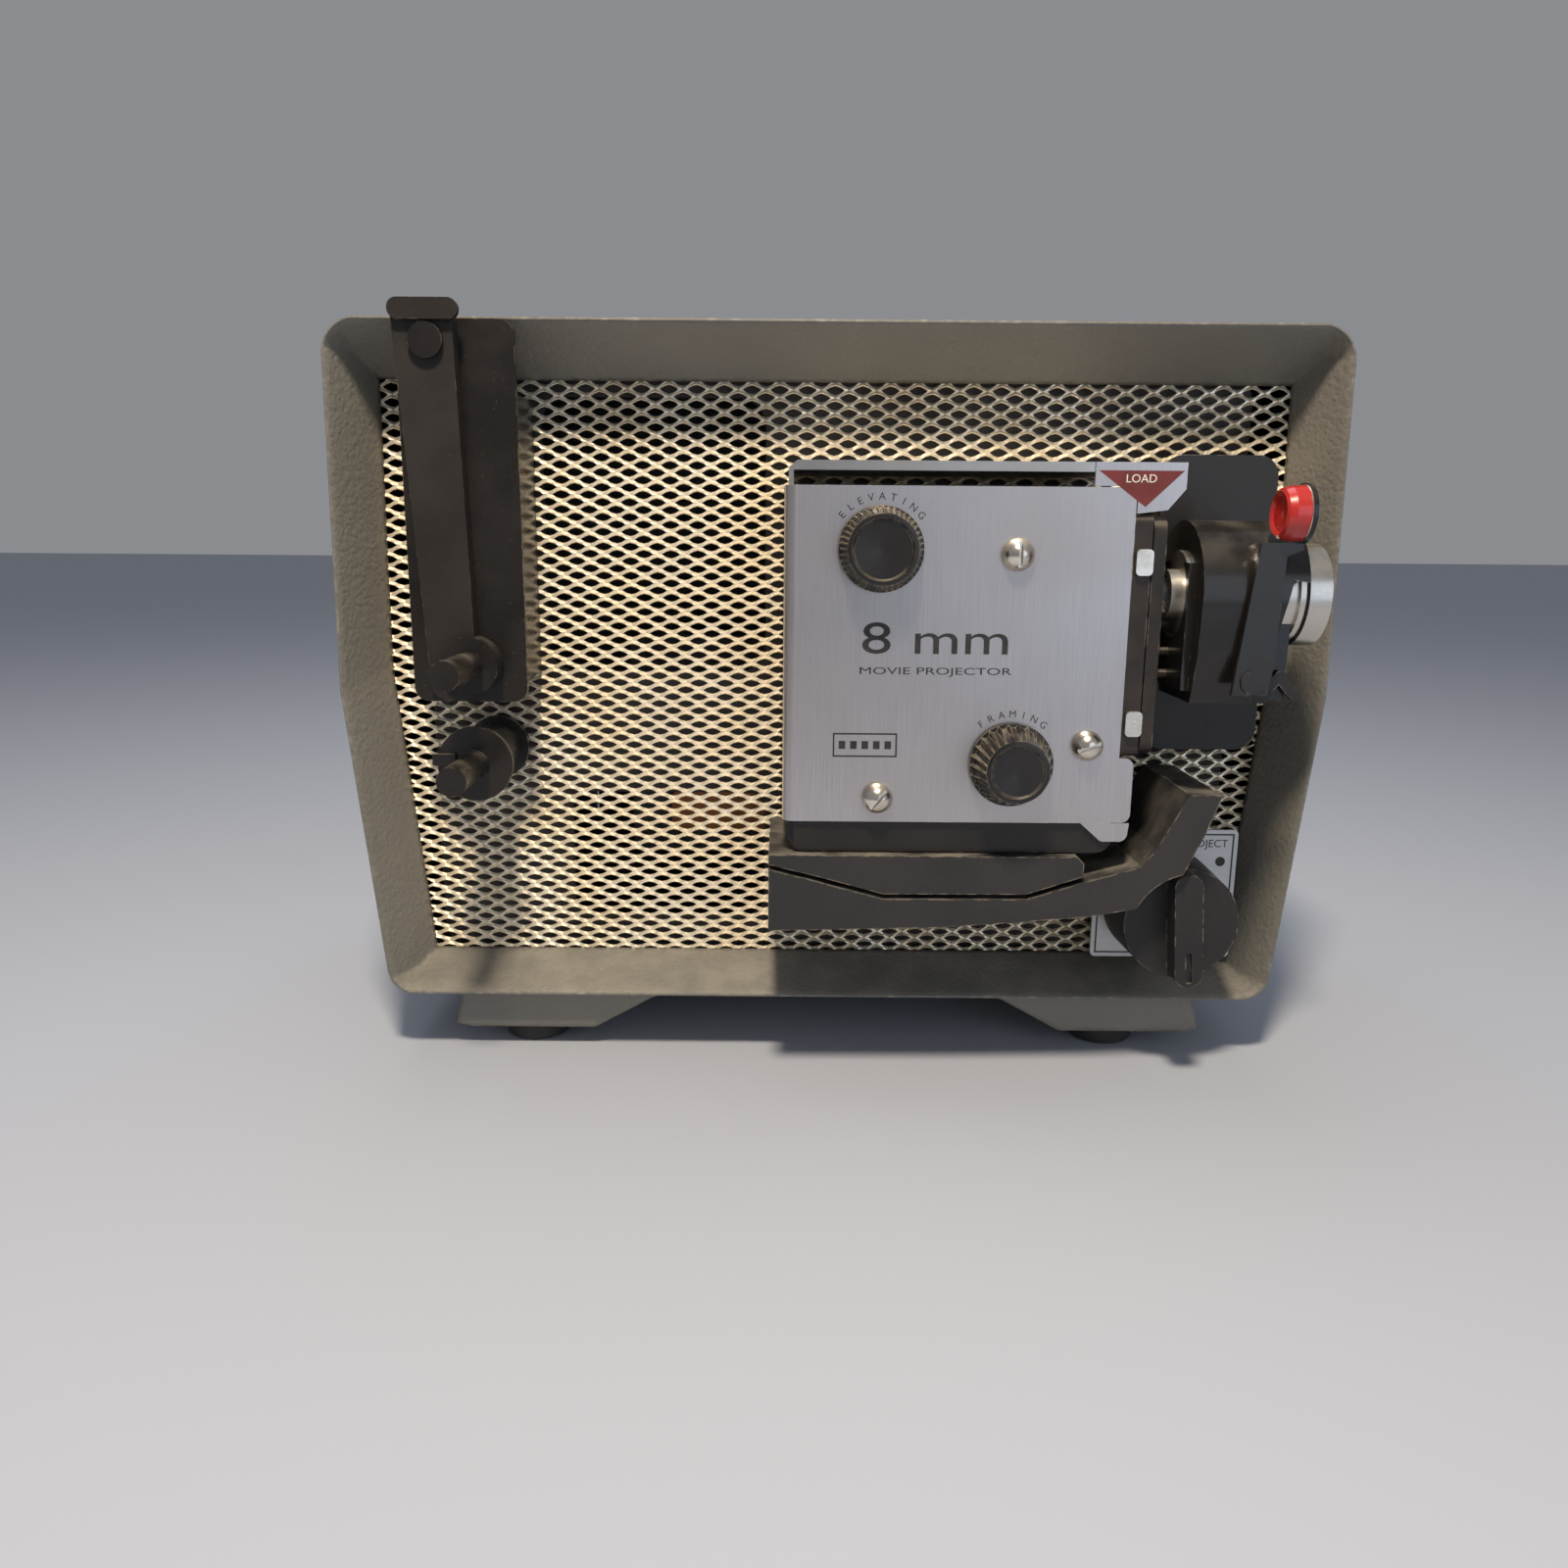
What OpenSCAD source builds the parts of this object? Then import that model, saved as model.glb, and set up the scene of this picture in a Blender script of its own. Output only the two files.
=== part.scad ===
// Portable 8 mm cine projector, ready to run: front cover off, reel arm folded down.
// Units are millimetres. +X is the way the lens points, -Y is the operating side, +Z is up.
// Origin: middle of the outline in X and Y, on the plane the feet stand on.

/* [Case] */
// Outside width of the case at the top
case_w = 280; // [276:1:284]
// Outside width where the sides start to taper
kink_w = 283; // [280:1:286]
// Outside width at the bottom
bottom_w = 265; // [258:1:270]
// Height of the case without its feet
case_h = 194; // [192:1:196]
// Height of the line where the sides start to taper
kink_h = 92; // [80:1:100]
// Depth of the case behind its front rim
case_d = 135; // [132:1:150]
// Corner radius at the top of the case
corner_r = 10; // [6:1:14]
// Sheet thickness of the case
wall = 1.6; // [1.2:0.2:2]
// How far the grille lies behind the front rim
bezel_d = 20; // [18:1:20]

/* [Feet] */
// Height of the case bottom above the table
foot_h = 19; // [17:1:22]
// Radius of a rubber foot
foot_r = 10; // [8:0.5:12]

/* [Mechanism] */
// How far the cover plate stands in front of the rim
cover_out = 22; // [22:0.5:23]
// Height of the projection axis above the case bottom
axis_z = 122.5; // [122:0.5:123]
// How far the projection axis is in front of the rim
axis_out = 15; // [15:0.5:15.5]
// Radius of the lens barrel's front rim
lens_r = 13.5; // [12.5:0.5:14]

/* [Reels] */
// Radius of a reel spindle
spindle_r = 4; // [3.9:0.05:4.1]
// How far the spindles reach in front of the rim
spindle_out = 35; // [33:0.5:35]

/* [Knobs] */
// Number of serrations round the elevating knob
elevating_serrations = 40; // [24:2:48]
// Number of serrations round the framing knob
framing_serrations = 24; // [18:2:30]

/* [Hidden] */
$fn = 48;
eps = 0.01;
seat_y = -35.65;
seat_r = 7.4;
mid_y = (case_d + seat_y - seat_r) / 2;
cover_y = -cover_out;
axis_y = -axis_out;
film_x = 82;
shell_pts = [[-bottom_w / 2, 0], [bottom_w / 2, 0], [kink_w / 2, kink_h],
             [case_w / 2, case_h], [-case_w / 2, case_h], [-kink_w / 2, kink_h]];
bezel_in = [8, 9.5, 9, 14, 9, 9.5];
elev = [11, 133.8];
framing = [47.5, 76.8];
main = [37, 106];
motor = [-35, 76];
takeup = [-101, 73.3];
supply = [-101.5, 101];
arm_pivot = [-109, 186.5];
lever_pivot = [105.6, 101.5];
beam = [60, axis_z];
control = [100.3, 29];
pinion_teeth = 12;
pinion_r = 6;
tooth_pitch = 2 * PI * pinion_r / pinion_teeth;
cover_screw_at = [[46.9, 132.7, 90], [68, 82.1, 20], [11.6, 67.2, 50]];

// ---------- helpers ----------

// Moves children from the case's own axes (rim plane at y = 0, case bottom at z = 0) to the origin
module at_case() {
    translate([0, -mid_y, foot_h]) children();
}

// Round bar along Y between y0 and y1, centred on p = [x, z]
module rod_y(r, y0, y1, p) {
    translate([p[0], y1, p[1]]) rotate([90, 0, 0]) cylinder(r = r, h = y1 - y0);
}

// Cone along Y: radius r0 at y0 and r1 at y1
module cone_y(r0, r1, y0, y1, p) {
    translate([p[0], y1, p[1]]) rotate([90, 0, 0]) cylinder(r1 = r1, r2 = r0, h = y1 - y0);
}

// Round bar along X between x0 and x1 at the given y and z
module rod_x(r, x0, x1, y, z) {
    translate([x0, y, z]) rotate([0, 90, 0]) cylinder(r = r, h = x1 - x0);
}

// Round bar along Z between z0 and z1
module rod_z(r, z0, z1, x, y) {
    translate([x, y, z0]) cylinder(r = r, h = z1 - z0);
}

// Box given by its two corners
module block(a, b) {
    translate(a) cube(b - a);
}

// Extrudes a drawing in the XZ plane from y0 to y1
module slab(y0, y1) {
    translate([0, y1, 0]) rotate([90, 0, 0]) linear_extrude(y1 - y0) children();
}

// Extrudes a drawing in the YZ plane from x0 to x1
module slab_x(x0, x1) {
    translate([x0, 0, 0]) rotate([90, 0, 90]) linear_extrude(x1 - x0) children();
}

// Rounded rectangle given by two corners
module rrect(a, b, r) {
    translate([a[0] + r, a[1]]) square([b[0] - a[0] - 2 * r, b[1] - a[1]]);
    translate([a[0], a[1] + r]) square([b[0] - a[0], b[1] - a[1] - 2 * r]);
    for (x = [a[0] + r, b[0] - r], z = [a[1] + r, b[1] - r])
        translate([x, z]) circle(r = r);
}

function unit(v) = v / norm(v);

// Convex polygon with its corners rounded to the radii rs; the arcs cross the sides instead of
// just touching them, so they stand 0.03 mm proud
module round_poly(pts, rs) {
    n = len(pts);
    difference() {
        polygon(pts);
        for (i = [0:n - 1]) if (rs[i] > 0) {
            p = pts[i];
            u = unit(pts[(i + n - 1) % n] - p);
            v = unit(pts[(i + 1) % n] - p);
            t = rs[i] / tan(acos(u * v) / 2);
            polygon([p - u - v, p + u * t - v, p + u * t, p + v * t, p + v * t - u]);
        }
    }
    for (i = [0:n - 1]) if (rs[i] > 0) {
        p = pts[i];
        u = unit(pts[(i + n - 1) % n] - p);
        v = unit(pts[(i + 1) % n] - p);
        half = acos(u * v) / 2;
        translate(p + unit(u + v) * (rs[i] / sin(half) - 0.03)) circle(r = rs[i]);
    }
}

// Straight bar from a to b with round ends of radius r
module bar(a, b, r) {
    d = b - a;
    translate(a) rotate(atan2(d[1], d[0])) translate([0, 0.05 - r]) square([norm(d), 2 * r - 0.1]);
    translate(a) circle(r = r);
    translate(b) circle(r = r);
}

// Outline of the case, shrunk by d
module case_outline(d = 0) {
    k = [for (i = [0:5]) let (p = shell_pts[i])
        [p[0] - sign(p[0]) * d, i < 2 ? p[1] + d : (i == 2 || i == 5) ? p[1] : p[1] - d]];
    cr = max(corner_r - d, 1);
    br = max(8 - d, 1);
    round_poly(k, [br, br, 0, cr, cr, 0]);
}

// Closed band round two pulleys: p and q are [x, z], rp and rq the inner radii
module belt_outline(p, rp, q, rq) {
    d = q - p;
    a = atan2(d[1], d[0]);
    b = acos((rp - rq) / norm(d));
    translate(p) circle(r = rp);
    translate(q) circle(r = rq);
    polygon([for (s = [1, -1]) p + rp * [cos(a + s * b), sin(a + s * b)],
             for (s = [-1, 1]) q + rq * [cos(a + s * b), sin(a + s * b)]]);
}

// Pulley along Y with a shallow round groove
module pulley_y(r, y0, y1, p, bore) {
    h = y1 - y0;
    translate([p[0], y1, p[1]]) rotate([90, 0, 0]) rotate_extrude()
        polygon([[bore, 0], [r, 0], [r - 1.6, (h - 3) / 2], [r - 1.6, (h + 3) / 2],
                 [r, h], [bore, h]]);
}

// Slotted domed screw head facing -Y with its seat at y
module dome_screw(p, y, r, turn) {
    translate([p[0], y, p[1]]) rotate([90, 0, 0]) difference() {
        union() {
            rotate_extrude() intersection() {
                translate([0, r * 0.05]) circle(r = r * 1.02);
                square([r, r * 1.1]);
            }
            translate([0, 0, -2.6]) cylinder(r = r * 0.4, h = 2.8);
        }
        rotate([0, 0, turn]) translate([-r * 1.1, -0.5, r * 0.72])
            cube([r * 2.2, 1, r]);
    }
}

// ---------- case ----------

// Side i of the front rim: it slopes from a thin lip down to the grille
module rim_side(i) {
    p = shell_pts[i];
    d = shell_pts[(i + 1) % 6] - p;
    k = (bezel_in[i] - 0.6) / bezel_d;
    translate([p[0], 0, p[1]]) rotate([0, -atan2(d[1], d[0]), 0])
        rotate([90, 0, 90]) translate([0, 0, -12]) linear_extrude(norm(d) + 24)
            polygon([[-1, -4], [-1, 0.6 - k], [bezel_d + 1, bezel_in[i] + k], [bezel_d + 1, -4]]);
}

// Rounded corner i of the front rim, with radius r: it slopes like the sides next to it
module rim_corner(i, r) {
    p = shell_pts[i];
    u = unit(shell_pts[(i + 5) % 6] - p);
    v = unit(shell_pts[(i + 1) % 6] - p);
    m = p + unit(u + v) * (r / sin(acos(u * v) / 2) - 0.03);
    k = (min(bezel_in[(i + 5) % 6], bezel_in[i]) - 1) / bezel_d;
    q = [2 * p[0], i < 2 ? -9 : case_h + 9];
    difference() {
        block([min(m[0], q[0]), -1, min(m[1], q[1])],
              [max(m[0], q[0]), bezel_d + 1, max(m[1], q[1])]);
        translate([m[0], bezel_d + 2, m[1]]) rotate([90, 0, 0])
            cylinder(r1 = max(r - 0.45 - k * (bezel_d + 2), 0.05), r2 = r - 0.45 + k * 2, h = bezel_d + 4);
    }
}

// Steel case with its flared front rim
module case_shell() {
    color([0.36, 0.33, 0.30]) at_case() {
        difference() {
            slab(bezel_d - 6, case_d) case_outline();
            slab(-1, case_d + 1) case_outline(wall);
            for (x = [-48, 48]) rod_z(2.1, case_h - 4, case_h + 1, x, 62);
            block([10, 30, -2], [30, 46, 4]);
        }
        intersection() {
            slab(0, bezel_d) case_outline();
            union() {
                for (i = [0:5]) rim_side(i);
                for (c = [[0, 8], [1, 8], [3, corner_r], [4, corner_r]]) rim_corner(c[0], c[1]);
            }
        }
        difference() {
            slab(case_d - 6, case_d - 4.6) case_outline(wall - 0.2);
            slab(case_d - 7, case_d) case_outline(wall + 7);
            for (x = [-112, 112], z = [5.6, case_h - 5]) rod_y(1.3, case_d - 8, case_d, [x, z]);
        }
    }
}

// Ventilating front panel behind the rim
module grille_panel() {
    color([0.78, 0.66, 0.48]) at_case() difference() {
        slab(bezel_d, bezel_d + 0.8) case_outline(wall + 0.4);
        slab(bezel_d - 1, bezel_d + 2) polygon([[-14, 50.5], [78, 50.5], [78, 78], [95, 78], [95, 90],
            [120, 90], [120, 150], [95, 150], [78, 151], [-14, 151]]);
        rod_y(8, bezel_d - 1, bezel_d + 2, takeup);
        rod_y(3, bezel_d - 1, bezel_d + 2, arm_pivot - [0, 60]);
        rod_y(3, bezel_d - 1, bezel_d + 2, arm_pivot - [0, 20]);
        rod_y(4.6, bezel_d - 1, bezel_d + 2, control);
        block([-12, bezel_d - 1, 34], [64, bezel_d + 2, 47]);
    }
}

// Louvred back panel
module rear_panel() {
    color([0.36, 0.33, 0.30]) at_case() difference() {
        slab(case_d - 4.6, case_d - 3.2) case_outline(wall + 0.4);
        for (x = [-60, 0, 60], z = [60:10:150])
            translate([x - 20, case_d - 6, z]) cube([40, 4, 3]);
        block([-121, case_d - 6, 24], [-89, case_d, 46]);
        for (x = [-112, 112], z = [5.6, case_h - 5]) rod_y(1.3, case_d - 8, case_d, [x, z]);
    }
}

// Four screws that hold the back panel
module rear_panel_screws() {
    color([0.75, 0.74, 0.70]) at_case() for (x = [-112, 112], z = [5.6, case_h - 5])
        translate([x, 2 * (case_d - 3.2), z]) rotate([0, 0, 180])
            translate([0, case_d - 3.2, 0]) dome_screw([0, 0], 0, 3, 30);
}

// Sheet that carries the mechanism inside the case
module chassis_plate() {
    color([0.55, 0.55, 0.55]) at_case() difference() {
        slab(24, 25.6) rrect([-122, 8], [122, 182], 6);
        slab(23, 27) rrect([-86, 96], [-20, 176], 8);
        slab(23, 27) rrect([-80, 18], [-20, 58], 6);
        rod_y(8, 23, 27, beam);
        rod_y(3.2, 23, 27, elev);
        rod_y(3.2, 23, 27, main);
        rod_y(3.2, 23, 27, takeup);
        rod_y(4.2, 23, 27, control);
        rod_y(2, 23, 27, arm_pivot - [0, 60]);
        rod_y(2, 23, 27, arm_pivot - [0, 20]);
    }
}

// Two pressed rails under the case
module base_rails() {
    color([0.36, 0.33, 0.30]) at_case() for (s = [-1, 1])
        slab(6, case_d - 8) polygon([[s * 115, -12], [s * 112, 0], [s * 46, 0],
            [s * 54, -3], [s * 72, -13], [s * 110, -13]]);
}

// Four rubber feet
module rubber_feet() {
    color([0.08, 0.08, 0.08]) at_case() for (x = [-92, 88], y = [19, case_d - 22])
        rod_z(foot_r, -foot_h, -13, x, y);
}

// Brackets on top that hold the carrying handle
module handle_brackets() {
    color([0.75, 0.74, 0.70]) at_case() for (x = [-48, 48]) difference() {
        union() {
            block([x - 2.3, 55, case_h], [x + 2.3, 69, case_h + 1.5]);
            block([x - 2, 58, case_h], [x + 2, 66, case_h + 5]);
            rod_x(4, x - 2, x + 2, 62, case_h + 5);
            rod_z(2, case_h - 5, case_h + 1, x, 62);
        }
        rod_x(1.55, x - 3, x + 3, 62, case_h + 5);
    }
}

// Carrying handle frame, lying flat
module carry_handle() {
    color([0.75, 0.74, 0.70]) at_case() {
        for (s = [-1, 1]) {
            block([s > 0 ? 50.5 : -52.5, 62, case_h + 3.2], [s > 0 ? 52.5 : -50.5, 96, case_h + 7]);
            rod_x(1.5, s > 0 ? 46 : -51, s > 0 ? 51 : -46, 62, case_h + 5);
            rod_x(3.6, s > 0 ? 50.5 : -52.5, s > 0 ? 52.5 : -50.5, 62, case_h + 5);
        }
        rod_x(1.9, -52, 52, 94, case_h + 5.1);
    }
}

// Moulded grip round the handle's bar
module handle_grip() {
    color([0.12, 0.11, 0.10]) at_case() difference() {
        slab_x(-46, 46) rrect([88, case_h + 0.6], [100, case_h + 10], 4);
        rod_x(1.92, -47, 47, 94, case_h + 5.1);
    }
}

// ---------- mechanism housing and its cover ----------

// Black housing of the intermittent mechanism
module mechanism_housing() {
    color([0.06, 0.06, 0.06]) at_case() difference() {
        slab(cover_y + 1.3, 24) rrect([-13.2, 51.6], [77, 149.8], 5);
        slab(cover_y + 3.4, 22) rrect([-10.4, 54], [74.8, 147.6], 3.5);
        block([-14, cover_y, 50], [-11.3, cover_y + 3.1, 151]);
        rod_y(2.55, cover_y, 30, elev);
        rod_y(2.55, cover_y, 0, framing);
        rod_y(3.05, 20, 30, main);
        rod_y(7, 20, 30, beam);
        rod_x(5, 70, 80, axis_y, axis_z);
        block([70, axis_y - 3.2, 103], [80, axis_y + 3.2, 117]);
        for (s = cover_screw_at) rod_y(1.8, cover_y, cover_y + 3.6, [s[0], s[1]]);
    }
}

// Brushed cover plate with one rolled edge
module cover_plate() {
    color([0.62, 0.62, 0.66]) at_case() difference() {
        union() {
            slab(cover_y, cover_y + 1.2) {
                round_poly([[-11, 60.4], [77, 60.4], [77, 150], [-11, 150]], [0, 2, 2.5, 0]);
                rrect([60, 60.6], [81, 78.6], 2.4);
            }
            slab(cover_y + 3, 19.8) polygon([[-14.4, 60.4], [-13.3, 60.4], [-13.3, 150], [-14.4, 150]]);
            translate([-11.4, cover_y + 3, 60.4]) intersection() {
                difference() {
                    cylinder(r = 3, h = 89.6);
                    translate([0, 0, -1]) cylinder(r = 1.8, h = 92);
                }
                translate([-3, -3, 0]) cube([3.41, 3.01, 89.6]);
            }
        }
        rod_y(2.6, cover_y - 1, cover_y + 3, elev);
        rod_y(2.6, cover_y - 1, cover_y + 3, framing);
        for (s = cover_screw_at) rod_y(1.8, cover_y - 1, cover_y + 3, [s[0], s[1]]);
    }
}

// Three slotted screws in the cover plate
module cover_screws() {
    color([0.80, 0.77, 0.70]) at_case() for (s = cover_screw_at)
        dome_screw([s[0], s[1]], cover_y, 4.3, s[2]);
}

// Tab at the upper right corner where the film goes in
module load_tab() {
    color([0.62, 0.62, 0.66]) at_case() {
        slab(cover_y, cover_y + 1.2) polygon([[65.9, 150.3], [77.3, 150.3], [77.3, 143.4], [78, 143.4],
            [85.2, 144.3], [89.6, 149.6], [89.6, 156.3], [65.9, 156.3]]);
        block([65.8, cover_y + 1, 154], [76, 19.6, 156.3]);
    }
}

// Upper wall of the film slot along the top of the housing
module top_film_guide() {
    color([0.50, 0.46, 0.38]) at_case() slab(cover_y + 0.4, 19.6)
        polygon([[-13.2, 149.8], [-12, 149.8], [-12, 153.8], [65.8, 153.8], [65.8, 156.3],
                 [-11, 156.3], [-13.2, 154.4]]);
}

// Rounded ear under the lower right corner of the cover plate
module guide_ear() {
    color([0.62, 0.60, 0.55]) at_case() slab(cover_y + 0.1, cover_y + 1.2)
        round_poly([[67.5, 60.4], [73.4, 55.2], [80.4, 55.2], [80.9, 60.4]], [0, 2.4, 2.4, 0]);
}

// ---------- film chute ----------

// Lower wall of the film chute with the arm that turns the film
module film_chute() {
    color([0.13, 0.13, 0.14]) at_case() difference() {
        union() {
            block([-10, 19.5, 34.5], [62, 24, 38]);
            slab(-24, 19.6) polygon([[-18, 29.3], [30, 30.6], [70, 33.9], [92, 38], [98, 50],
                [101.5, 58], [105.4, 68.8], [96.4, 69], [88.4, 53.6], [84.6, 48.6], [71, 44.6],
                [53.4, 39], [13.5, 38.8], [-4.2, 43.6], [-18, 47]]);
        }
        rod_y(17.8, -25, 20, control);
    }
}

// Upper wall of the film chute
module upper_film_guide() {
    color([0.13, 0.13, 0.14]) at_case() {
        slab(-24, 19.6) polygon([[-18, 48.4], [-4, 45], [13.7, 40.2], [53.2, 40.4], [68.8, 45.6],
            [68.8, 49.4], [67, 51.2], [-18, 51.2]]);
        block([4, 19.5, 43.4], [50, 24, 46.8]);
    }
}

// ---------- gate and lens ----------

// Fixed film track with its aperture and claw slot
module aperture_plate() {
    color([0.76, 0.74, 0.70]) at_case() difference() {
        slab_x(77, film_x - 0.2) rrect([-22, 79], [-8, 143], 2);
        block([76, axis_y - 2.3, axis_z - 1.7], [84, axis_y + 2.3, axis_z + 1.7]);
        block([76, axis_y - 2.8, 104], [84, axis_y - 0.8, 116]);
        block([80.6, axis_y - 4.1, 70], [84, axis_y + 4.1, 150]);
    }
}

// Two bright clips on the edge of the film track
module gate_clips() {
    color([0.85, 0.83, 0.78]) at_case() for (z = [88.2, 130.9])
        translate([79.8, -22, z]) rotate([90, 0, 0]) linear_extrude(1.6) rrect([-2.2, -3.4], [2.2, 3.4], 1.2);
}

// Sprung shoe that presses the film flat
module pressure_plate() {
    color([0.30, 0.30, 0.31]) at_case() {
        difference() {
            slab_x(film_x + 0.2, 85.6) rrect([-22, 79.5], [-8, 142.6], 4);
            rod_x(5, 80, 90, axis_y, axis_z);
        }
        for (z = [101, 107]) rod_x(1.2, 85.5, 95, axis_y, z);
    }
}

// Black plate that stands behind the lens holder
module lens_backplate() {
    color([0.06, 0.06, 0.06]) at_case() {
        slab(10, 12) rrect([93, 75.4], [126, 160.2], 6);
        for (z = [100, 140]) rod_y(4, 12, 24, [106, z]);
    }
}

// Casting that holds the lens barrel
module lens_holder() {
    color([0.05, 0.05, 0.05]) at_case() difference() {
        union() {
            rod_x(19.4, 92, 119, axis_y, axis_z);
            slab_x(92, 119) polygon([[-30, 95], [-4, 95], [4.4, 118], [10, 118], [10, 132],
                [axis_y, 132], [-34.4, axis_z], [-33.5, 108]]);
            block([90, -28, 98], [92.1, -4, 131]);
        }
        rod_x(11.55, 89, 122, axis_y, axis_z);
        translate([107.6, 0, 92]) rotate([0, 11.6, 0]) block([0, -40, -2], [20, -24, 36]);
        rod_y(1.55, -30, -18, [112.4, 97]);
        rod_y(1.56, -40, -26, lever_pivot);
        for (z = [101, 107]) rod_x(1.25, 89, 98, axis_y, z);
    }
}

// Lens barrel with its front rim and rear end
module lens_barrel() {
    color([0.74, 0.73, 0.70]) at_case() translate([0, axis_y, axis_z]) rotate([0, 90, 0])
        rotate_extrude() polygon([[5, 88], [6.5, 88], [6.5, 91], [11.5, 91], [11.5, 119.6],
            [lens_r - 0.9, 119.6], [lens_r - 0.9, 121], [lens_r, 121.6], [lens_r, 127.4],
            [lens_r - 0.8, 128], [11, 128], [9.6, 124.5], [9.6, 121], [8, 121], [5, 98]]);
}

// Front and rear lens elements
module lens_glass() {
    color([0.65, 0.72, 0.80, 0.4]) at_case() translate([0, axis_y, axis_z]) rotate([0, 90, 0]) {
        translate([0, 0, 121.3]) cylinder(r = 9.55, h = 2.8);
        translate([0, 0, 89]) cylinder(r = 4.95, h = 3);
    }
}

// Flat lever in front of the holder that opens the gate, with a seat for its button
module gate_lever() {
    color([0.06, 0.06, 0.06]) at_case() {
        slab(-36.4, -34.9) polygon([[100.4, 97.9], [109.4, 97.9], [110.6, 105], [111.4, 133],
            [115.3, 134.6], [115.3, 140], [114.1, 140], [114.1, 136.3], [104.8, 136.3]]);
        rod_x(seat_r, 114.1, 115.3, seat_y, 143.5);
        rod_y(1.5, -35, -26.6, lever_pivot);
        rod_y(3.2, -37, -36.2, lever_pivot);
    }
}

// Round button on the gate lever
module lever_button() {
    color([0.75, 0.08, 0.06]) at_case() translate([0, seat_y, 143.5]) rotate([0, 90, 0])
        rotate_extrude() polygon([[0, 109.6], [4.4, 109.1], [5.4, 108.4], [6.2, 108.9], [6.7, 110.6],
            [6.9, 114.1], [0, 114.1]]);
}

// Small hooked lever under the lens
module hook_lever() {
    color([0.20, 0.20, 0.20]) at_case() {
        slab(-26, -24.8) {
            bar([112.4, 97], [116.8, 101.6], 1.5);
            bar([116.8, 101.6], [121.2, 96.4], 1.5);
            translate([112.4, 97]) circle(r = 2.6);
        }
        rod_y(1.5, -26, -19, [112.4, 97]);
    }
}

// ---------- reels ----------

// Fixed bracket that carries the folding arm
module arm_bracket() {
    color([0.06, 0.06, 0.06]) at_case() {
        slab(-3, -1.5) rrect([-119, 90], [-87, 193], 4);
        for (x = [-118.5, -89.1]) block([x, -1.6, 96], [x + 1.6, 19.4, 174]);
        for (z = [20, 60]) rod_y(1.9, -1.6, 25.5, arm_pivot - [0, z]);
        rod_y(3, -9.4, -1.6, arm_pivot);
        rod_y(4.6, -10.4, -9.2, arm_pivot);
    }
}

// Folding supply arm
module supply_arm() {
    color([0.05, 0.05, 0.05]) at_case() difference() {
        union() {
            slab(-8.6, -3.4) round_poly([[-112.4, 91], [-99.6, 91], [-99.8, 100], [-102.2, 196],
                [-118.4, 196]], [5, 5, 0, 4, 4]);
            rod_y(8, -8.6, -3.4, supply);
            slab(-10.6, -8.5) rrect([-118.4, 191.6], [-100, 197], 2.6);
        }
        slab(-7.2, -3) round_poly([[-110.6, 112], [-102.4, 112], [-104, 178], [-115, 178]], [2, 2, 2, 2]);
        rod_y(3.05, -20, 0, arm_pivot);
        rod_y(2.55, -20, 0, supply);
        rod_y(5.2, -5, -3, supply);
    }
}

// Spindle at the arm's end for the full reel
module supply_spindle() {
    color([0.10, 0.10, 0.10]) at_case() {
        rod_y(8, -10.4, -8.9, supply);
        rod_y(spindle_r, -spindle_out, -10.3, supply);
        rod_y(2.5, -10.3, -4.4, supply);
        rod_y(4.8, -4.8, -3.6, supply);
    }
}

// Bearing of the take-up spindle
module takeup_bearing() {
    color([0.45, 0.45, 0.45]) at_case() difference() {
        union() {
            rod_y(7, -8.4, 24, takeup);
            rod_y(9.4, 16.6, 19.6, takeup);
        }
        rod_y(3.05, -10, 30, takeup);
    }
}

// Driven spindle for the empty reel
module takeup_spindle() {
    color([0.10, 0.10, 0.10]) at_case() {
        rod_y(10.6, -10.4, -8.8, takeup);
        rod_y(spindle_r, -spindle_out, -10.3, takeup);
        rod_y(3, -10.3, 44, takeup);
        slab(-12, -10.3) translate([takeup[0] - 11.5, takeup[1] - 0.2]) square([6.4, 3.2]);
    }
}

// Pulley on the take-up spindle
module takeup_pulley() {
    color([0.25, 0.22, 0.18]) at_case() pulley_y(18, 36, 43, takeup, 3);
}

// Belt from the motor to the take-up spindle
module takeup_belt() {
    color([0.07, 0.06, 0.06]) at_case() difference() {
        slab(38.5, 40.5) belt_outline(motor, 6.6, takeup, 18.4);
        slab(38, 41) belt_outline(motor, 4.9, takeup, 16.7);
    }
}

// ---------- drive ----------

// Laminated stack and end frames of the motor
module motor_stator() {
    color([0.42, 0.42, 0.44]) at_case() difference() {
        slab(70, 94) rrect([motor[0] - 32, motor[1] - 50], [motor[0] + 32, motor[1] + 27], 3);
        rod_y(17.4, 60, 100, motor);
        slab(60, 100) translate([motor[0] - 18, motor[1] - 40]) square([10, 14]);
        slab(60, 100) translate([motor[0] + 8, motor[1] - 40]) square([10, 14]);
    }
}

// Winding on the motor's core
module motor_coil() {
    color([0.62, 0.34, 0.16]) at_case() difference() {
        slab(62, 102) rrect([motor[0] - 17.6, motor[1] - 39.6], [motor[0] + 17.6, motor[1] - 26.4], 2);
        slab(69.6, 94.4) translate([motor[0] - 8.4, motor[1] - 42]) square([16.8, 20]);
    }
}

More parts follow.
